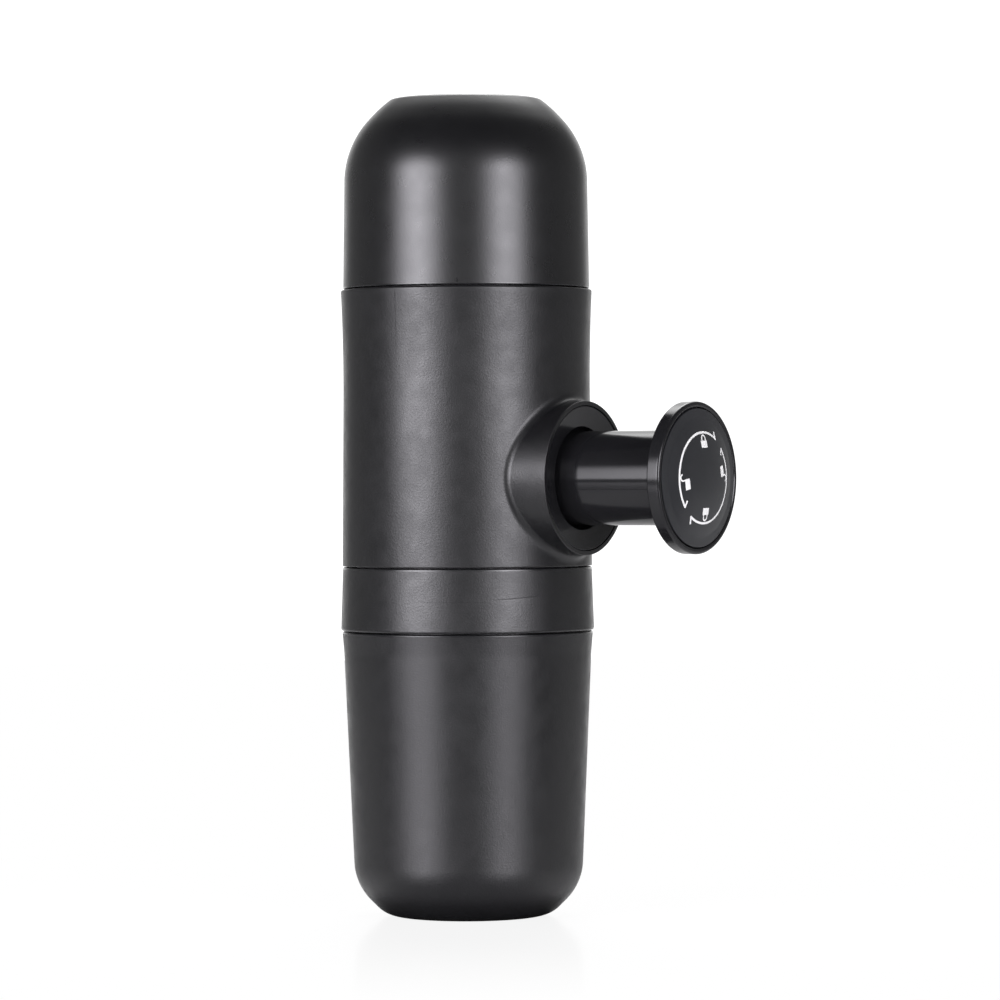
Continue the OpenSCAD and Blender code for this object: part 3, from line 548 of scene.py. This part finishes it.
# Outlet head: the ring between housing and cup, with its floor, the basket's seat and a spigot
outletHead = {
    "low": 73.85, "high": 90.15, "lowRadius": 32.75, "topRadius": 32.2,
    "lowRound": 0.5, "edgeRound": 0.3, "rubbedHighlightBand": 0.55,
    "bore": 29.4, "boreBevel": 0.4, "floor": 75.75, "floorRound": 0.5,
    "seatOuter": 24.4, "seatInner": 21.5, "seatHigh": 88.0, "seatRound": 0.2,
    "funnel": 20.1, "funnelFall": 1, "outlet": 3.2,
    "spigotOuter": 29.2, "spigotInner": 27.2, "spigotLow": 66.85, "spigotRound": 0.5,
    "groove": 28.5, "grooveLow": 69.75, "grooveHigh": 71.35, "grooveRound": 0.1,
    # rows of the outer wall, close together where the flow lines are
    "rowsBelow": (77, 79, 80.5), "fineRows": [81 + 0.1 * i for i in range(30)],
    "rowsAbove": (85, 87),
    # flow lines left by the moulding, as steps that fade out downwards: turns and heights of both
    # ends, and depth
    "flowLines": [((-45, -22), (82.3, 83.2), 0.035), ((-79, -47), (81.8, 81.8), 0.015)],
    "flowEdge": 0.15, "flowFade": 1.1,
}


def ringRadius(height):
    o = outletHead
    share = (height - o["low"]) / (o["high"] - o["low"])
    return o["lowRadius"] + (o["topRadius"] - o["lowRadius"]) * share


def withFlowLines(radius, height, angle):
    o = outletHead
    turn = (math.degrees(angle) + 180) % 360 - 180
    if radius > outerSkin:
        for (turnA, turnB), (heightA, heightB), depth in o["flowLines"]:
            share = (turn - turnA) / (turnB - turnA)
            if 0 < share < 1:
                middle = heightA + (heightB - heightA) * share
                under = (middle - height) / o["flowEdge"] + 0.5
                step = min(max(under, 0), 1)
                fade = math.exp(-max(under - 1, 0) * o["flowEdge"] / o["flowFade"])
                radius -= depth * math.sin(math.pi * share) ** 0.5 * step * fade
    return upright(radius, height, angle)


def outletHeadShell():
    o = outletHead
    rows = (o["low"] + o["rubbedHighlightBand"], *o["rowsBelow"], *o["fineRows"], *o["rowsAbove"],
            o["high"] - o["rubbedHighlightBand"])
    shape = Shape()
    shape.turn(roundCorners([
        (ringRadius(o["low"]), o["low"], o["lowRound"]),
        *((ringRadius(height), height) for height in rows),
        (ringRadius(o["high"]), o["high"], o["edgeRound"]),
        (o["bore"] + o["boreBevel"], o["high"]),
        (o["bore"], o["high"] - o["boreBevel"]),
        (o["bore"], o["floor"], o["floorRound"]),
        (o["seatOuter"], o["floor"], o["floorRound"]),
        (o["seatOuter"], o["seatHigh"], o["seatRound"]),
        (o["seatInner"], o["seatHigh"], o["seatRound"]),
        (o["seatInner"], o["floor"]),
        (o["funnel"], o["floor"]),
        (o["outlet"], o["floor"] - o["funnelFall"]),
        (o["outlet"], o["low"]),
        (o["spigotInner"], o["low"], o["edgeRound"]),
        (o["spigotInner"], o["spigotLow"], o["edgeRound"]),
        (o["spigotOuter"], o["spigotLow"], o["spigotRound"]),
        (o["spigotOuter"], o["grooveLow"], o["grooveRound"]),
        (o["groove"], o["grooveLow"]),
        (o["groove"], o["grooveHigh"]),
        (o["spigotOuter"], o["grooveHigh"], o["grooveRound"]),
        (o["spigotOuter"], o["low"]),
    ]), withFlowLines, 320)
    return shape


addPiece("outletHeadShell", outletHeadShell(), shellAbs, "outlet", "shell_abs", ["outlet_head"],
         rubbedHighlight=[(outletHead["low"], outletHead["low"] + outletHead["rubbedHighlightBand"]),
                 (outletHead["high"] - outletHead["rubbedHighlightBand"], outletHead["high"])])

# Espresso cup: a tapered wall with a soft bottom curve, a flared lip and a foot ring
cup = {
    "lip": (32.45, 73.55), "lipRound": 0.4, "lipDraft": 0.05, "rubbedHighlightLow": 73.0,
    "flare": (32.25, 71.25), "neck": (32.0, 68.25), "neckCurve": 40,
    "bottom": (29.391, 8.178, 14.5), "toe": (21.214, 0, 8),
    "foot": 13.6, "footDepth": 0.4, "footSlope": 0.6, "footRound": 0.3,
    "innerFloor": 1.9, "innerToe": (20.427, 1.9, 6.1), "innerBottom": (27.525, 8.999, 12.6),
    "innerNeck": (29.98, 65.45), "mouth": (30.2, 66.05),
}


def cupShell():
    shape = Shape()
    shape.turn(roundCorners([
        (0, cup["footDepth"]),
        (cup["foot"] - cup["footSlope"], cup["footDepth"], cup["footRound"]),
        (cup["foot"], 0, cup["footRound"]),
        cup["toe"],
        cup["bottom"],
        (*cup["neck"], cup["neckCurve"]),
        cup["flare"],
        (cup["lip"][0] - cup["lipDraft"], cup["rubbedHighlightLow"]),
        (*cup["lip"], cup["lipRound"]),
        (cup["mouth"][0], cup["lip"][1], cup["lipRound"]),
        cup["mouth"],
        cup["innerNeck"],
        cup["innerBottom"],
        cup["innerToe"],
        (0, cup["innerFloor"]),
    ], fineArc))
    return shape


addPiece("cupShell", cupShell(), shellAbs, "cup", "shell_abs", ["espresso_cup"],
         rubbedHighlight=[(cup["rubbedHighlightLow"], cup["lip"][1])])
print("outlet head and cup made")

# Collar in the boss and the plunger's knob: both polished, turned about the pump's axis
collar = {
    "inner": 12.06, "outer": 18.5, "back": 30.2, "front": 36.5, "dish": 1, "mouth": 13.1,
    "landEnd": 32.6, "bevelEnd": 33.6, "edge": 0.3,
}
knob = {
    "skirt": 12, "skirtInner": 10.6, "end": 27.4, "floor": 66,
    "stop": 13.2, "stopEnd": 29.9, "stopRound": 0.3,
    "disc": 19.2, "discBack": 66.3, "discFace": 69.9,
    "root": 1.2, "backRound": 0.4, "frontRound": 0.75,
    "capRecess": 17.6, "recessDraft": 0.05, "capFloor": 68.6,
    "screwRecess": 3.4, "screwFloor": 67, "screwHole": 1.8,
    "rodHole": 3.56, "hub": 5.2, "hubEnd": 58,
    "lugs": {
        "turns": (90, 270), "inner": 9.7, "wide": 5, "long": 2, "setBack": 0.05, "rooted": 0.2,
    },
    "parting": {"turns": (193.5, 13.5), "halfWide": 0.09, "proud": 0.035, "sunk": 0.03},
}
cap = {
    "radius": 17.5, "edge": 0.3, "edgeMiddle": 0.1,
    "domeRadius": 15.4, "marginRise": 0.25, "rise": 2.6, "domeRings": 24,
}


def collarRing():
    c = collar
    shape = Shape()
    shape.turn(roundCorners([
        (c["inner"], c["back"]),
        (c["outer"], c["back"]),
        (c["outer"], c["front"], c["edge"]),
        (c["mouth"], c["front"] - c["dish"], c["edge"]),
        (c["mouth"], c["bevelEnd"]),
        (c["inner"], c["landEnd"]),
    ]), alongPump)
    return shape


def knobBody():
    k = knob
    shape = Shape()
    shape.turn(roundCorners([
        (k["skirtInner"], k["end"]),
        (k["stop"], k["end"], k["stopRound"]),
        (k["stop"], k["stopEnd"], k["stopRound"]),
        (k["skirt"], k["stopEnd"]),
        (k["skirt"], k["discBack"], k["root"]),
        (k["disc"], k["discBack"], k["backRound"]),
        (k["disc"], k["discFace"], k["frontRound"]),
        (k["capRecess"] + k["recessDraft"], k["discFace"], k["frontRound"]),
        (k["capRecess"], k["capFloor"]),
        (k["screwRecess"], k["capFloor"]),
        (k["screwRecess"], k["screwFloor"]),
        (k["screwHole"], k["screwFloor"]),
        (k["screwHole"], k["floor"]),
        (k["rodHole"], k["floor"]),
        (k["rodHole"], k["hubEnd"]),
        (k["hub"], k["hubEnd"]),
        (k["hub"], k["floor"]),
        (k["skirtInner"], k["floor"]),
    ]), alongPump)
    # two lugs inside the skirt's end, which run in the sleeve's slots
    lugs = k["lugs"]
    half = math.asin(lugs["wide"] / 2 / lugs["inner"])
    outer = k["skirtInner"] + lugs["rooted"]
    start, end = k["end"] + lugs["setBack"], k["end"] + lugs["long"]
    corners = ((lugs["inner"], start), (outer, start), (outer, end), (lugs["inner"], end))
    for middle in lugs["turns"]:
        shape.tube([[
            alongPump(radius, reach, math.radians(middle) + half * across)
            for radius, reach in corners
        ] for across in (i / 3 - 1 for i in range(7))])
    # the faint line where the two halves of the skirt's tool met
    line = k["parting"]
    half = line["halfWide"] / k["skirt"]
    for turn in line["turns"]:
        a = math.radians(turn)
        shape.tube([[
            alongPump(k["skirt"] - line["sunk"], reach, a - half),
            alongPump(k["skirt"] + line["proud"], reach, a),
            alongPump(k["skirt"] - line["sunk"], reach, a + half),
        ] for reach in (k["stopEnd"], k["discBack"] - k["root"])])
    return shape


domeRise = cap["rise"] - cap["marginRise"]
domeCurve = (cap["domeRadius"] ** 2 + domeRise ** 2) / (2 * domeRise)


def domeReach(radius):
    # how far out the knob's domed face is, at a radius from its middle
    return knob["discFace"] + cap["rise"] - domeCurve + math.sqrt(domeCurve ** 2 - radius ** 2)


def capShell():
    face, radius = knob["discFace"], cap["radius"]
    outline = [
        (0, knob["capFloor"]),
        (radius, knob["capFloor"]),
        (radius, face - cap["edge"]),
        (radius - cap["edgeMiddle"], face - cap["edgeMiddle"]),
        (radius - cap["edge"], face),
    ]
    for i in range(cap["domeRings"] + 1):
        inwards = cap["domeRadius"] * (1 - i / cap["domeRings"])
        outline.append((inwards, domeReach(inwards)))
    shape = Shape()
    shape.turn(outline, alongPump)
    return shape


addPiece("bossCollar", collarRing(), polishedAbs, "main_body", "gloss_abs", ["collar"])
addPiece("plungerKnob", knobBody(), polishedAbs, "plunger_knob", "gloss_abs", ["knob"])
addPiece("knobFace", capShell(), satinAbs, "plunger_knob", "gloss_abs", ["knob_cap"])
print("collar, knob and its face made")

# Print on the knob's face: two turning arrows with half barbs, and open and shut padlocks
printMarks = {
    "halfThick": 0.03,
    "ring": 11.4, "stroke": 0.55, "start": 219, "end": 58.7, "steps": 60,
    # both ends of each half barb, as mm out from the ring and degrees on from the arrow's end
    "startBarb": ((0.2, 1), (-1.5, -4)), "endBarb": ((-0.2, -1), (1.5, 5)),
    "shutTurns": (92, 272), "openTurns": (11, 191),
    "lockRing": 8.9, "lockStroke": 0.4,
    "lockSize": 1.3,  # what the lock's sizes below are multiplied by
    "bodyWide": 2.1, "bodyTall": 1.35, "bodyMiddle": -0.35,
    "shackle": 0.62, "shackleFoot": 0.2, "shutShackle": (0, 0.75), "openShackle": (1.5, 0.8),
}


def printedStrip(shape, path, width):
    # a flat ribbon along a path of (right, up) points on the knob's domed face
    thick = printMarks["halfThick"]
    sections = []
    for i, point in enumerate(path):
        along = (Vector(path[min(i + 1, len(path) - 1)]) - Vector(path[max(i - 1, 0)])).normalized()
        aside = Vector((-along.y, along.x)) * (width / 2)
        edges = [Vector(point) + aside, Vector(point) - aside]
        sections.append(
            [(domeReach(e.length) + thick, e.x, pumpHeight + e.y) for e in edges]
            + [(domeReach(e.length) - thick, e.x, pumpHeight + e.y) for e in edges[::-1]]
        )
    shape.tube(sections)


def polar(radius, degrees):
    return radius * math.cos(math.radians(degrees)), radius * math.sin(math.radians(degrees))


def printArrow(shape, half):
    m = printMarks
    start, end = half + m["start"], half + m["end"]
    path = [polar(m["ring"], start + (end - start) * i / m["steps"]) for i in range(m["steps"] + 1)]
    printedStrip(shape, path, m["stroke"])
    for turn, barb in ((start, m["startBarb"]), (end, m["endBarb"])):
        printedStrip(shape, [polar(m["ring"] + out, turn + on) for out, on in barb], m["stroke"])


def printPadlock(shape, turn, shut):
    m = printMarks
    centre = Vector(polar(m["lockRing"], turn))
    up = Vector(polar(1, turn))
    right = Vector((up.y, -up.x))

    def spot(x, y):
        return tuple(centre + (right * x + up * y) * m["lockSize"])

    # the lock's body as a broad strip, and its shackle as a narrow one
    body = [spot(m["bodyWide"] * (i / 6 - 0.5), m["bodyMiddle"]) for i in range(7)]
    printedStrip(shape, body, m["bodyTall"] * m["lockSize"])
    bow = m["shackle"]
    aside, high = m["shutShackle"] if shut else m["openShackle"]
    shackle = [(aside + x, high + y) for x, y in (polar(bow, a) for a in range(0, 181, 20))]
    shackle.append((aside - bow, m["shackleFoot"]))
    if shut:
        shackle.insert(0, (aside + bow, m["shackleFoot"]))
    printedStrip(shape, [spot(x, y) for x, y in shackle], m["lockStroke"])


def knobPrint():
    shape = Shape()
    for half in (0, 180):
        printArrow(shape, half)
    for turn in printMarks["shutTurns"]:
        printPadlock(shape, turn, True)
    for turn in printMarks["openTurns"]:
        printPadlock(shape, turn, False)
    return shape


addPiece("knobPrint", knobPrint(), padInk, "plunger_knob", "gloss_abs")
print("print made")

# Screw threads: three starts of 12 mm lead, ridges on the spigots and in the bores between them
threads = {
    "lead": 12, "starts": 3, "steps": 48,
    "base": 1.7, "crest": 0.8, "proud": 0.55, "root": 0.15,
    "fade": 0.12,  # share of the length over which a ridge grows at each end
    "end": 0.15,  # share of its size that it has there
}
threadRuns = {
    "headThread": {"radius": 28.6, "heights": (84.9, 88.6), "phase": 0, "way": 1,
                   "finish": innerPolypropylene, "body": "main_body", "slot": "inner_plastic"},
    "outletThread": {"radius": 29.4, "heights": (84.9, 88.6), "phase": 2, "way": -1,
                     "finish": shellAbs, "body": "outlet", "slot": "shell_abs"},
    "plateThread": {"radius": 28.6, "heights": (163.4, 167.2), "phase": 0, "way": 1,
                    "finish": innerPolypropylene, "body": "main_body", "slot": "inner_plastic"},
    "tankThread": {"radius": 29.4, "heights": (163.6, 167.4), "phase": 2, "way": -1,
                   "finish": tankAbs, "body": "tank", "slot": "shell_abs"},
}


def threadRidges(run):
    # a ridge stands out from a spigot where its way is 1, and into a bore where it is -1
    t = threads
    low, high = run["heights"]
    shape = Shape()
    for start in range(t["starts"]):
        sections = []
        for i in range(t["steps"] + 1):
            share = i / t["steps"]
            height = low + (high - low) * share
            turn = 2 * math.pi * ((height - run["phase"]) / t["lead"] + start / t["starts"])
            grow = t["end"] + (1 - t["end"]) * min(1, share / t["fade"], (1 - share) / t["fade"])
            foot = run["radius"] - run["way"] * t["root"]
            crest = run["radius"] + run["way"] * t["proud"] * grow
            halfBase, halfCrest = t["base"] / 2 * grow, t["crest"] / 2 * grow
            sections.append([
                upright(foot, height - halfBase, turn), upright(crest, height - halfCrest, turn),
                upright(crest, height + halfCrest, turn), upright(foot, height + halfBase, turn),
            ])
        shape.tube(sections)
    return shape


for name, run in threadRuns.items():
    addPiece(name, threadRidges(run), run["finish"], run["body"], run["slot"])
print("threads made")

# Springs with closed ends, wound in the round; "keep" is what is left of the length when pressed
valveCoil = {
    "length": 6.7, "radius": 2.0, "wire": 0.45, "turns": 5, "axis": (0, 0, 1), "keep": 0.82,
}
springs = {
    "returnCoil": {
        "node": "return_spring", "joint": "plunger_stroke", "start": (-2.95, 0, 113),
        "length": 67.5, "radius": 8.5, "wire": 1.0, "turns": 12, "axis": (1, 0, 0), "keep": 0.57,
    },
    "inletCoil": {
        "node": "inlet_valve_spring", "joint": "inlet_valve_lift",
        "start": (-15, 0, 142.0), **valveCoil,
    },
    "outletCoil": {
        "node": "outlet_valve_spring", "joint": "outlet_valve_lift",
        "start": (-15, 0, 96.0), **valveCoil,
    },
}
coilGrid = {"perTurn": 24, "sides": 10}
closedPitch = 1.05  # of the end turns, in wire thicknesses


def coil(spring):
    perTurn, sides = coilGrid["perTurn"], coilGrid["sides"]
    half = spring["wire"] / 2
    closed = spring["wire"] * closedPitch
    pitch = (spring["length"] - spring["wire"] - 2 * closed) / (spring["turns"] - 2)
    sections = []
    for i in range(spring["turns"] * perTurn + 1):
        turns = i / perTurn
        inside = min(max(turns - 1, 0), spring["turns"] - 2)
        ends = min(turns, 1) + max(turns - spring["turns"] + 1, 0)
        climb = half + inside * pitch + ends * closed
        section = []
        for b in (2 * math.pi * j / sides for j in range(sides)):
            radius = spring["radius"] + half * math.cos(b)
            x, y, z = upright(radius, climb + half * math.sin(b), 2 * math.pi * turns)
            if spring["axis"][0]:
                x, y, z = z, x, y
            section.append(Vector((x, y, z)) + Vector(spring["start"]))
        sections.append(section)
    shape = Shape()
    shape.tube(sections)
    return shape


for name, spring in springs.items():
    piece = addPiece(name, coil(spring), brushedSteel, "main_body", "steel", [spring["node"]])
    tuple(spring["axis"])
    Vector(spring["start"]) * mm
    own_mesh(piece)
print("springs made")

# Screws with cross recesses: four that clamp the pump block, and the shower screen's one
frameScrews = {
    "x": -15, "y": 11, "lowSeat": 94.3, "highSeat": 158.5,
    "head": 2.7, "shank": 1.3, "thick": 1.6, "long": 6,
}
showerScrew = {"seat": 90.6, "head": 2.8, "shank": 1.3, "thick": 1.6, "long": 3.6}
screwForm = {
    "around": 64, "flat": 0.75, "flatRings": 14,  # the head's flat top, as a share of its radius
    "brow": 0.2, "browHeight": 0.82, "rimHeight": 0.5,
    "tip": (0.4, 0.5),
    "crossReach": 0.62, "crossHalf": 0.32, "crossDeep": 0.7,
}


def screwInto(shape, x, y, seat, up, size):
    # a pan head whose cross recess is cut into its rings, on a plain shank
    f, thick, head = screwForm, size["thick"], size["head"]
    shank, long = size["shank"], size["long"]

    def place(radius, height, angle):
        c, s = abs(math.cos(angle)), abs(math.sin(angle))
        inArms = radius < f["crossReach"] * head and min(c, s) * radius < f["crossHalf"]
        onTop = height > thick * 0.9 and c * s * radius * radius < 1
        sunk = f["crossDeep"] if inArms and onTop else 0
        px, py, pz = upright(radius, height - sunk, angle)
        return x + px, y + py, seat + up * pz

    outline = [(head * f["flat"] * i / f["flatRings"], thick) for i in range(f["flatRings"] + 1)]
    outline += [
        (head - f["brow"], thick * f["browHeight"]),
        (head, thick * f["rimHeight"]),
        (head, 0),
        (shank, 0),
        (shank, f["tip"][1] - long),
        (shank - f["tip"][0], -long),
        (0, -long),
    ]
    shape.turn(outline, place, f["around"])


screwShape = Shape()
for y in (-frameScrews["y"], frameScrews["y"]):
    screwInto(screwShape, frameScrews["x"], y, frameScrews["lowSeat"], -1, frameScrews)
    screwInto(screwShape, frameScrews["x"], y, frameScrews["highSeat"], 1, frameScrews)
addPiece("frameScrewSet", screwShape, brushedSteel, "main_body", "steel", ["frame_screws"])
screwShape = Shape()
screwInto(screwShape, 0, 0, showerScrew["seat"], -1, showerScrew)
addPiece("showerScreenScrew", screwShape, brushedSteel, "main_body", "steel", ["shower_screw"])
print("screws made")

# Studio: two soft boxes in front, brightest down their middles, in a dim room that is white behind.
# Sizes are in metres, and turns start from the camera.
studio = {
    "leftBox": {"turn": -45.5, "wide": 66, "level": 13, "sharp": 3},
    "rightBox": {"turn": 37.5, "wide": 64, "level": 11.3, "sharp": 4},
    "boxDistance": 1.1,
    "boxHeights": (0.08, 0.9),  # of the boxes' lower and upper edges
    "boxFade": (0.44, 0.84),  # share of the height over which a box fades towards its top
    "boxColour": (0.96, 0.94, 1.0),
    "backdropEdge": (0.79, 0.985),  # cosine from the backdrop's middle where it begins and is full
    "room": (0.27, 0.08),  # level near the horizon and overhead
    "roomHeights": (0.15, 0.8),  # sine of the lift where these are reached
    "front": {"edge": (0.75, 0.95), "level": 0.3},  # what the camera's side of the room adds
    "topGlow": {"way": (0.05, 0.62, 0.78), "level": 8.2, "sharp": 26},  # right, away, up
    "floorColour": "#e6e6e6",
    # in reflections, the floor right under the part takes this dark tone as a painted shadow
    "floorMirrored": "#505050",  # in reflections, far in front of the part and right under it
    "floorMirroredFade": (0.14, 0.32),
    "floorFront": (-0.05, 0.1),
    "floorPaintedShadow": (0.022, 0.034),
    "floorRoughness": 0.15,
    "floorWhite": (0.88, 1.0),  # share of plain white under the part and far from it
    "floorFade": (0.05, 0.22),
    "floorRadius": 1.6,
    "floorSides": 96,
}


def smooth(edges, levels=(0.0, 1.0)):
    # settings of a soft change from one level to the other between two edges
    return {
        "interpolation_type": "SMOOTHSTEP", "From Min": edges[0], "From Max": edges[1],
        "To Min": levels[0], "To Max": levels[1],
    }


def softBox(name, box):
    low, high = studio["boxHeights"]
    light = bpy.data.lights.new(name, "AREA")
    light.shape = "RECTANGLE"
    light.size = 2 * studio["boxDistance"] * math.tan(math.radians(box["wide"] / 2))
    light.size_y = high - low
    light.energy = box["level"] * math.pi * light.size * light.size_y
    light.color = studio["boxColour"]
    light.use_nodes = True
    tree = light.node_tree
    tree.nodes.clear()
    place = addNode(tree, "ShaderNodeNewGeometry").outputs["Parametric"]
    split = addNode(tree, "ShaderNodeSeparateXYZ", links={0: place})
    turned = addNode(tree, "ShaderNodeMath", {"operation": "MULTIPLY", 1: math.pi}, {
        0: split.outputs["X"],
    })
    wave = addNode(tree, "ShaderNodeMath", {"operation": "SINE"}, {0: turned.outputs[0]})
    across = addNode(tree, "ShaderNodeMath", {"operation": "POWER", 1: box["sharp"]}, {
        0: wave.outputs[0],
    })
    upwards = addNode(tree, "ShaderNodeMapRange", smooth(studio["boxFade"], (1.0, 0.0)), {
        "Value": split.outputs["Y"],
    })
    level = addNode(tree, "ShaderNodeMath", {"operation": "MULTIPLY"}, {
        0: across.outputs[0], 1: upwards.outputs["Result"],
    })
    glow = addNode(tree, "ShaderNodeEmission", links={"Strength": level.outputs[0]})
    addNode(tree, "ShaderNodeOutputLight", links={"Surface": glow.outputs[0]})
    lamp = bpy.data.objects.new(name, light)
    bpy.context.scene.collection.objects.link(lamp)
    way = compass(photoView["turn"] + box["turn"])
    middle = Matrix.Translation(way * studio["boxDistance"] + Vector((0, 0, (low + high) / 2)))
    lamp.matrix_world = middle @ way.to_track_quat("Z", "Y").to_matrix().to_4x4()
    lamp.visible_camera = False


def straightRays(tree):
    # rays that come straight from the camera, or through something clear, see plain white
    path = addNode(tree, "ShaderNodeLightPath")
    straight = addNode(tree, "ShaderNodeMath", {"operation": "MAXIMUM"}, {
        0: path.outputs["Is Camera Ray"], 1: path.outputs["Is Transmission Ray"],
    })
    return path, straight.outputs[0]


def studioWorld():
    world = bpy.data.worlds.new("studio")
    bpy.context.scene.world = world
    world.use_nodes = True
    tree = world.node_tree
    tree.nodes.clear()
    way = addNode(tree, "ShaderNodeTexCoord").outputs["Generated"]
    split = addNode(tree, "ShaderNodeSeparateXYZ", links={0: way})
    room = addNode(tree, "ShaderNodeMapRange", {
        "From Min": studio["roomHeights"][0], "From Max": studio["roomHeights"][1],
        "To Min": studio["room"][0], "To Max": studio["room"][1],
    }, {"Value": split.outputs["Z"]})
    # the white backdrop behind the part
    behind = -compass(photoView["turn"], photoView["lift"])
    share = addNode(tree, "ShaderNodeVectorMath", {"operation": "DOT_PRODUCT", 1: behind}, {0: way})
    white = addNode(tree, "ShaderNodeMapRange", smooth(studio["backdropEdge"]), {
        "Value": share.outputs["Value"],
    })
    # the glow overhead, which lies on the dome's shoulder
    glow = studio["topGlow"]
    right, away, up = glow["way"]
    aside, back = compass(photoView["turn"] + 90), compass(photoView["turn"])
    glowWay = (aside * right - back * away + Vector((0, 0, up))).normalized()
    near = addNode(tree, "ShaderNodeVectorMath", {"operation": "DOT_PRODUCT", 1: glowWay}, {0: way})
    ahead = addNode(tree, "ShaderNodeMath", {"operation": "MAXIMUM", 1: 0.0}, {
        0: near.outputs["Value"],
    })
    narrow = addNode(tree, "ShaderNodeMath", {"operation": "POWER", 1: glow["sharp"]}, {
        0: ahead.outputs[0],
    })
    lit = addNode(tree, "ShaderNodeMath", {"operation": "MULTIPLY_ADD", 1: glow["level"]}, {
        0: narrow.outputs[0], 2: room.outputs["Result"],
    })
    # the camera's side of the room
    facing = addNode(tree, "ShaderNodeMath", {"operation": "MULTIPLY", 1: -1.0}, {
        0: share.outputs["Value"],
    })
    edge, frontLevel = studio["front"]["edge"], studio["front"]["level"]
    front = addNode(tree, "ShaderNodeMapRange", smooth(edge, (0.0, frontLevel)), {
        "Value": facing.outputs[0],
    })
    both = addNode(tree, "ShaderNodeMath", {"operation": "ADD"}, {
        0: lit.outputs[0], 1: front.outputs["Result"],
    })
    level = addNode(tree, "ShaderNodeMath", {"operation": "ADD"}, {
        0: both.outputs[0], 1: white.outputs["Result"],
    })
    path, straight = straightRays(tree)
    mirrored = addNode(tree, "ShaderNodeMath", {"operation": "MULTIPLY"}, {
        0: path.outputs["Is Glossy Ray"], 1: level.outputs[0],
    })
    seen = addNode(tree, "ShaderNodeMath", {"operation": "MAXIMUM"}, {
        0: straight, 1: mirrored.outputs[0],
    })
    strength = addNode(tree, "ShaderNodeMath", {"operation": "MAXIMUM"}, {
        0: seen.outputs[0], 1: level.outputs[0],
    })
    light = addNode(tree, "ShaderNodeBackground", {"Color": (1, 1, 1, 1)}, {
        "Strength": strength.outputs[0],
    })
    addNode(tree, "ShaderNodeOutputWorld", links={"Surface": light.outputs[0]})


def studioFloor():
    # white acrylic, polished: in reflections pale near the part, darkened right under it as a
    # painted shadow, and dim beyond, like a small table.
    # The camera sees it white, with a faint shadow.
    material, tree = newMaterial("acrylicWhite")
    path, straight = straightRays(tree)
    place = addNode(tree, "ShaderNodeTexCoord").outputs["Object"]
    far = addNode(tree, "ShaderNodeVectorMath", {"operation": "LENGTH"}, {0: place})
    white = addNode(tree, "ShaderNodeMapRange", smooth(studio["floorFade"], studio["floorWhite"]), {
        "Value": far.outputs["Value"],
    })
    share = addNode(tree, "ShaderNodeMath", {"operation": "MULTIPLY"}, {
        0: straight, 1: white.outputs["Result"],
    })
    beyond = addNode(tree, "ShaderNodeMapRange", smooth(studio["floorMirroredFade"]), {
        "Value": far.outputs["Value"],
    })
    along = addNode(tree, "ShaderNodeVectorMath", {
        "operation": "DOT_PRODUCT", 1: compass(photoView["turn"]),
    }, {0: place})
    inFront = addNode(tree, "ShaderNodeMapRange", smooth(studio["floorFront"]), {
        "Value": along.outputs["Value"],
    })
    farFront = addNode(tree, "ShaderNodeMath", {"operation": "MULTIPLY"}, {
        0: beyond.outputs["Result"], 1: inFront.outputs["Result"],
    })
    # painted shadow: right under the part, the floor seen in reflections takes the dark tone
    paintedShadow = addNode(tree, "ShaderNodeMapRange", smooth(studio["floorPaintedShadow"], (1.0, 0.0)), {
        "Value": far.outputs["Value"],
    })
    dimAndPaintedShadow = addNode(tree, "ShaderNodeMath", {"operation": "MAXIMUM"}, {
        0: farFront.outputs[0], 1: paintedShadow.outputs["Result"],
    })
    dim = addNode(tree, "ShaderNodeMath", {"operation": "MULTIPLY"}, {
        0: path.outputs["Is Glossy Ray"], 1: dimAndPaintedShadow.outputs[0],
    })
    tone = addNode(tree, "ShaderNodeMix", {
        "data_type": "RGBA", 6: srgb(studio["floorColour"]), 7: srgb(studio["floorMirrored"]),
    }, {0: dim.outputs[0]})
    table = addNode(tree, "ShaderNodeBsdfPrincipled", {
        "Roughness": studio["floorRoughness"], "IOR": 1.49,
    }, {"Base Color": tone.outputs[2]})
    glow = addNode(tree, "ShaderNodeEmission", {"Color": (1, 1, 1, 1), "Strength": 1.0})
    mix = addNode(tree, "ShaderNodeMixShader", links={
        0: share.outputs[0], 1: table.outputs[0], 2: glow.outputs[0],
    })
    addNode(tree, "ShaderNodeOutputMaterial", links={"Surface": mix.outputs[0]})
    sides = studio["floorSides"]
    mesh = bpy.data.meshes.new("floor")
    mesh.from_pydata([
        upright(studio["floorRadius"], 0, 2 * math.pi * i / sides) for i in range(sides)
    ], [], [list(range(sides))])
    mesh.materials.append(material)
    floor = bpy.data.objects.new("floor", mesh)
    bpy.context.scene.collection.objects.link(floor)


softBox("leftBox", studio["leftBox"])
softBox("rightBox", studio["rightBox"])
studioWorld()
studioFloor()
bpy.context.scene.view_settings.view_transform = "Standard"
print("studio made")
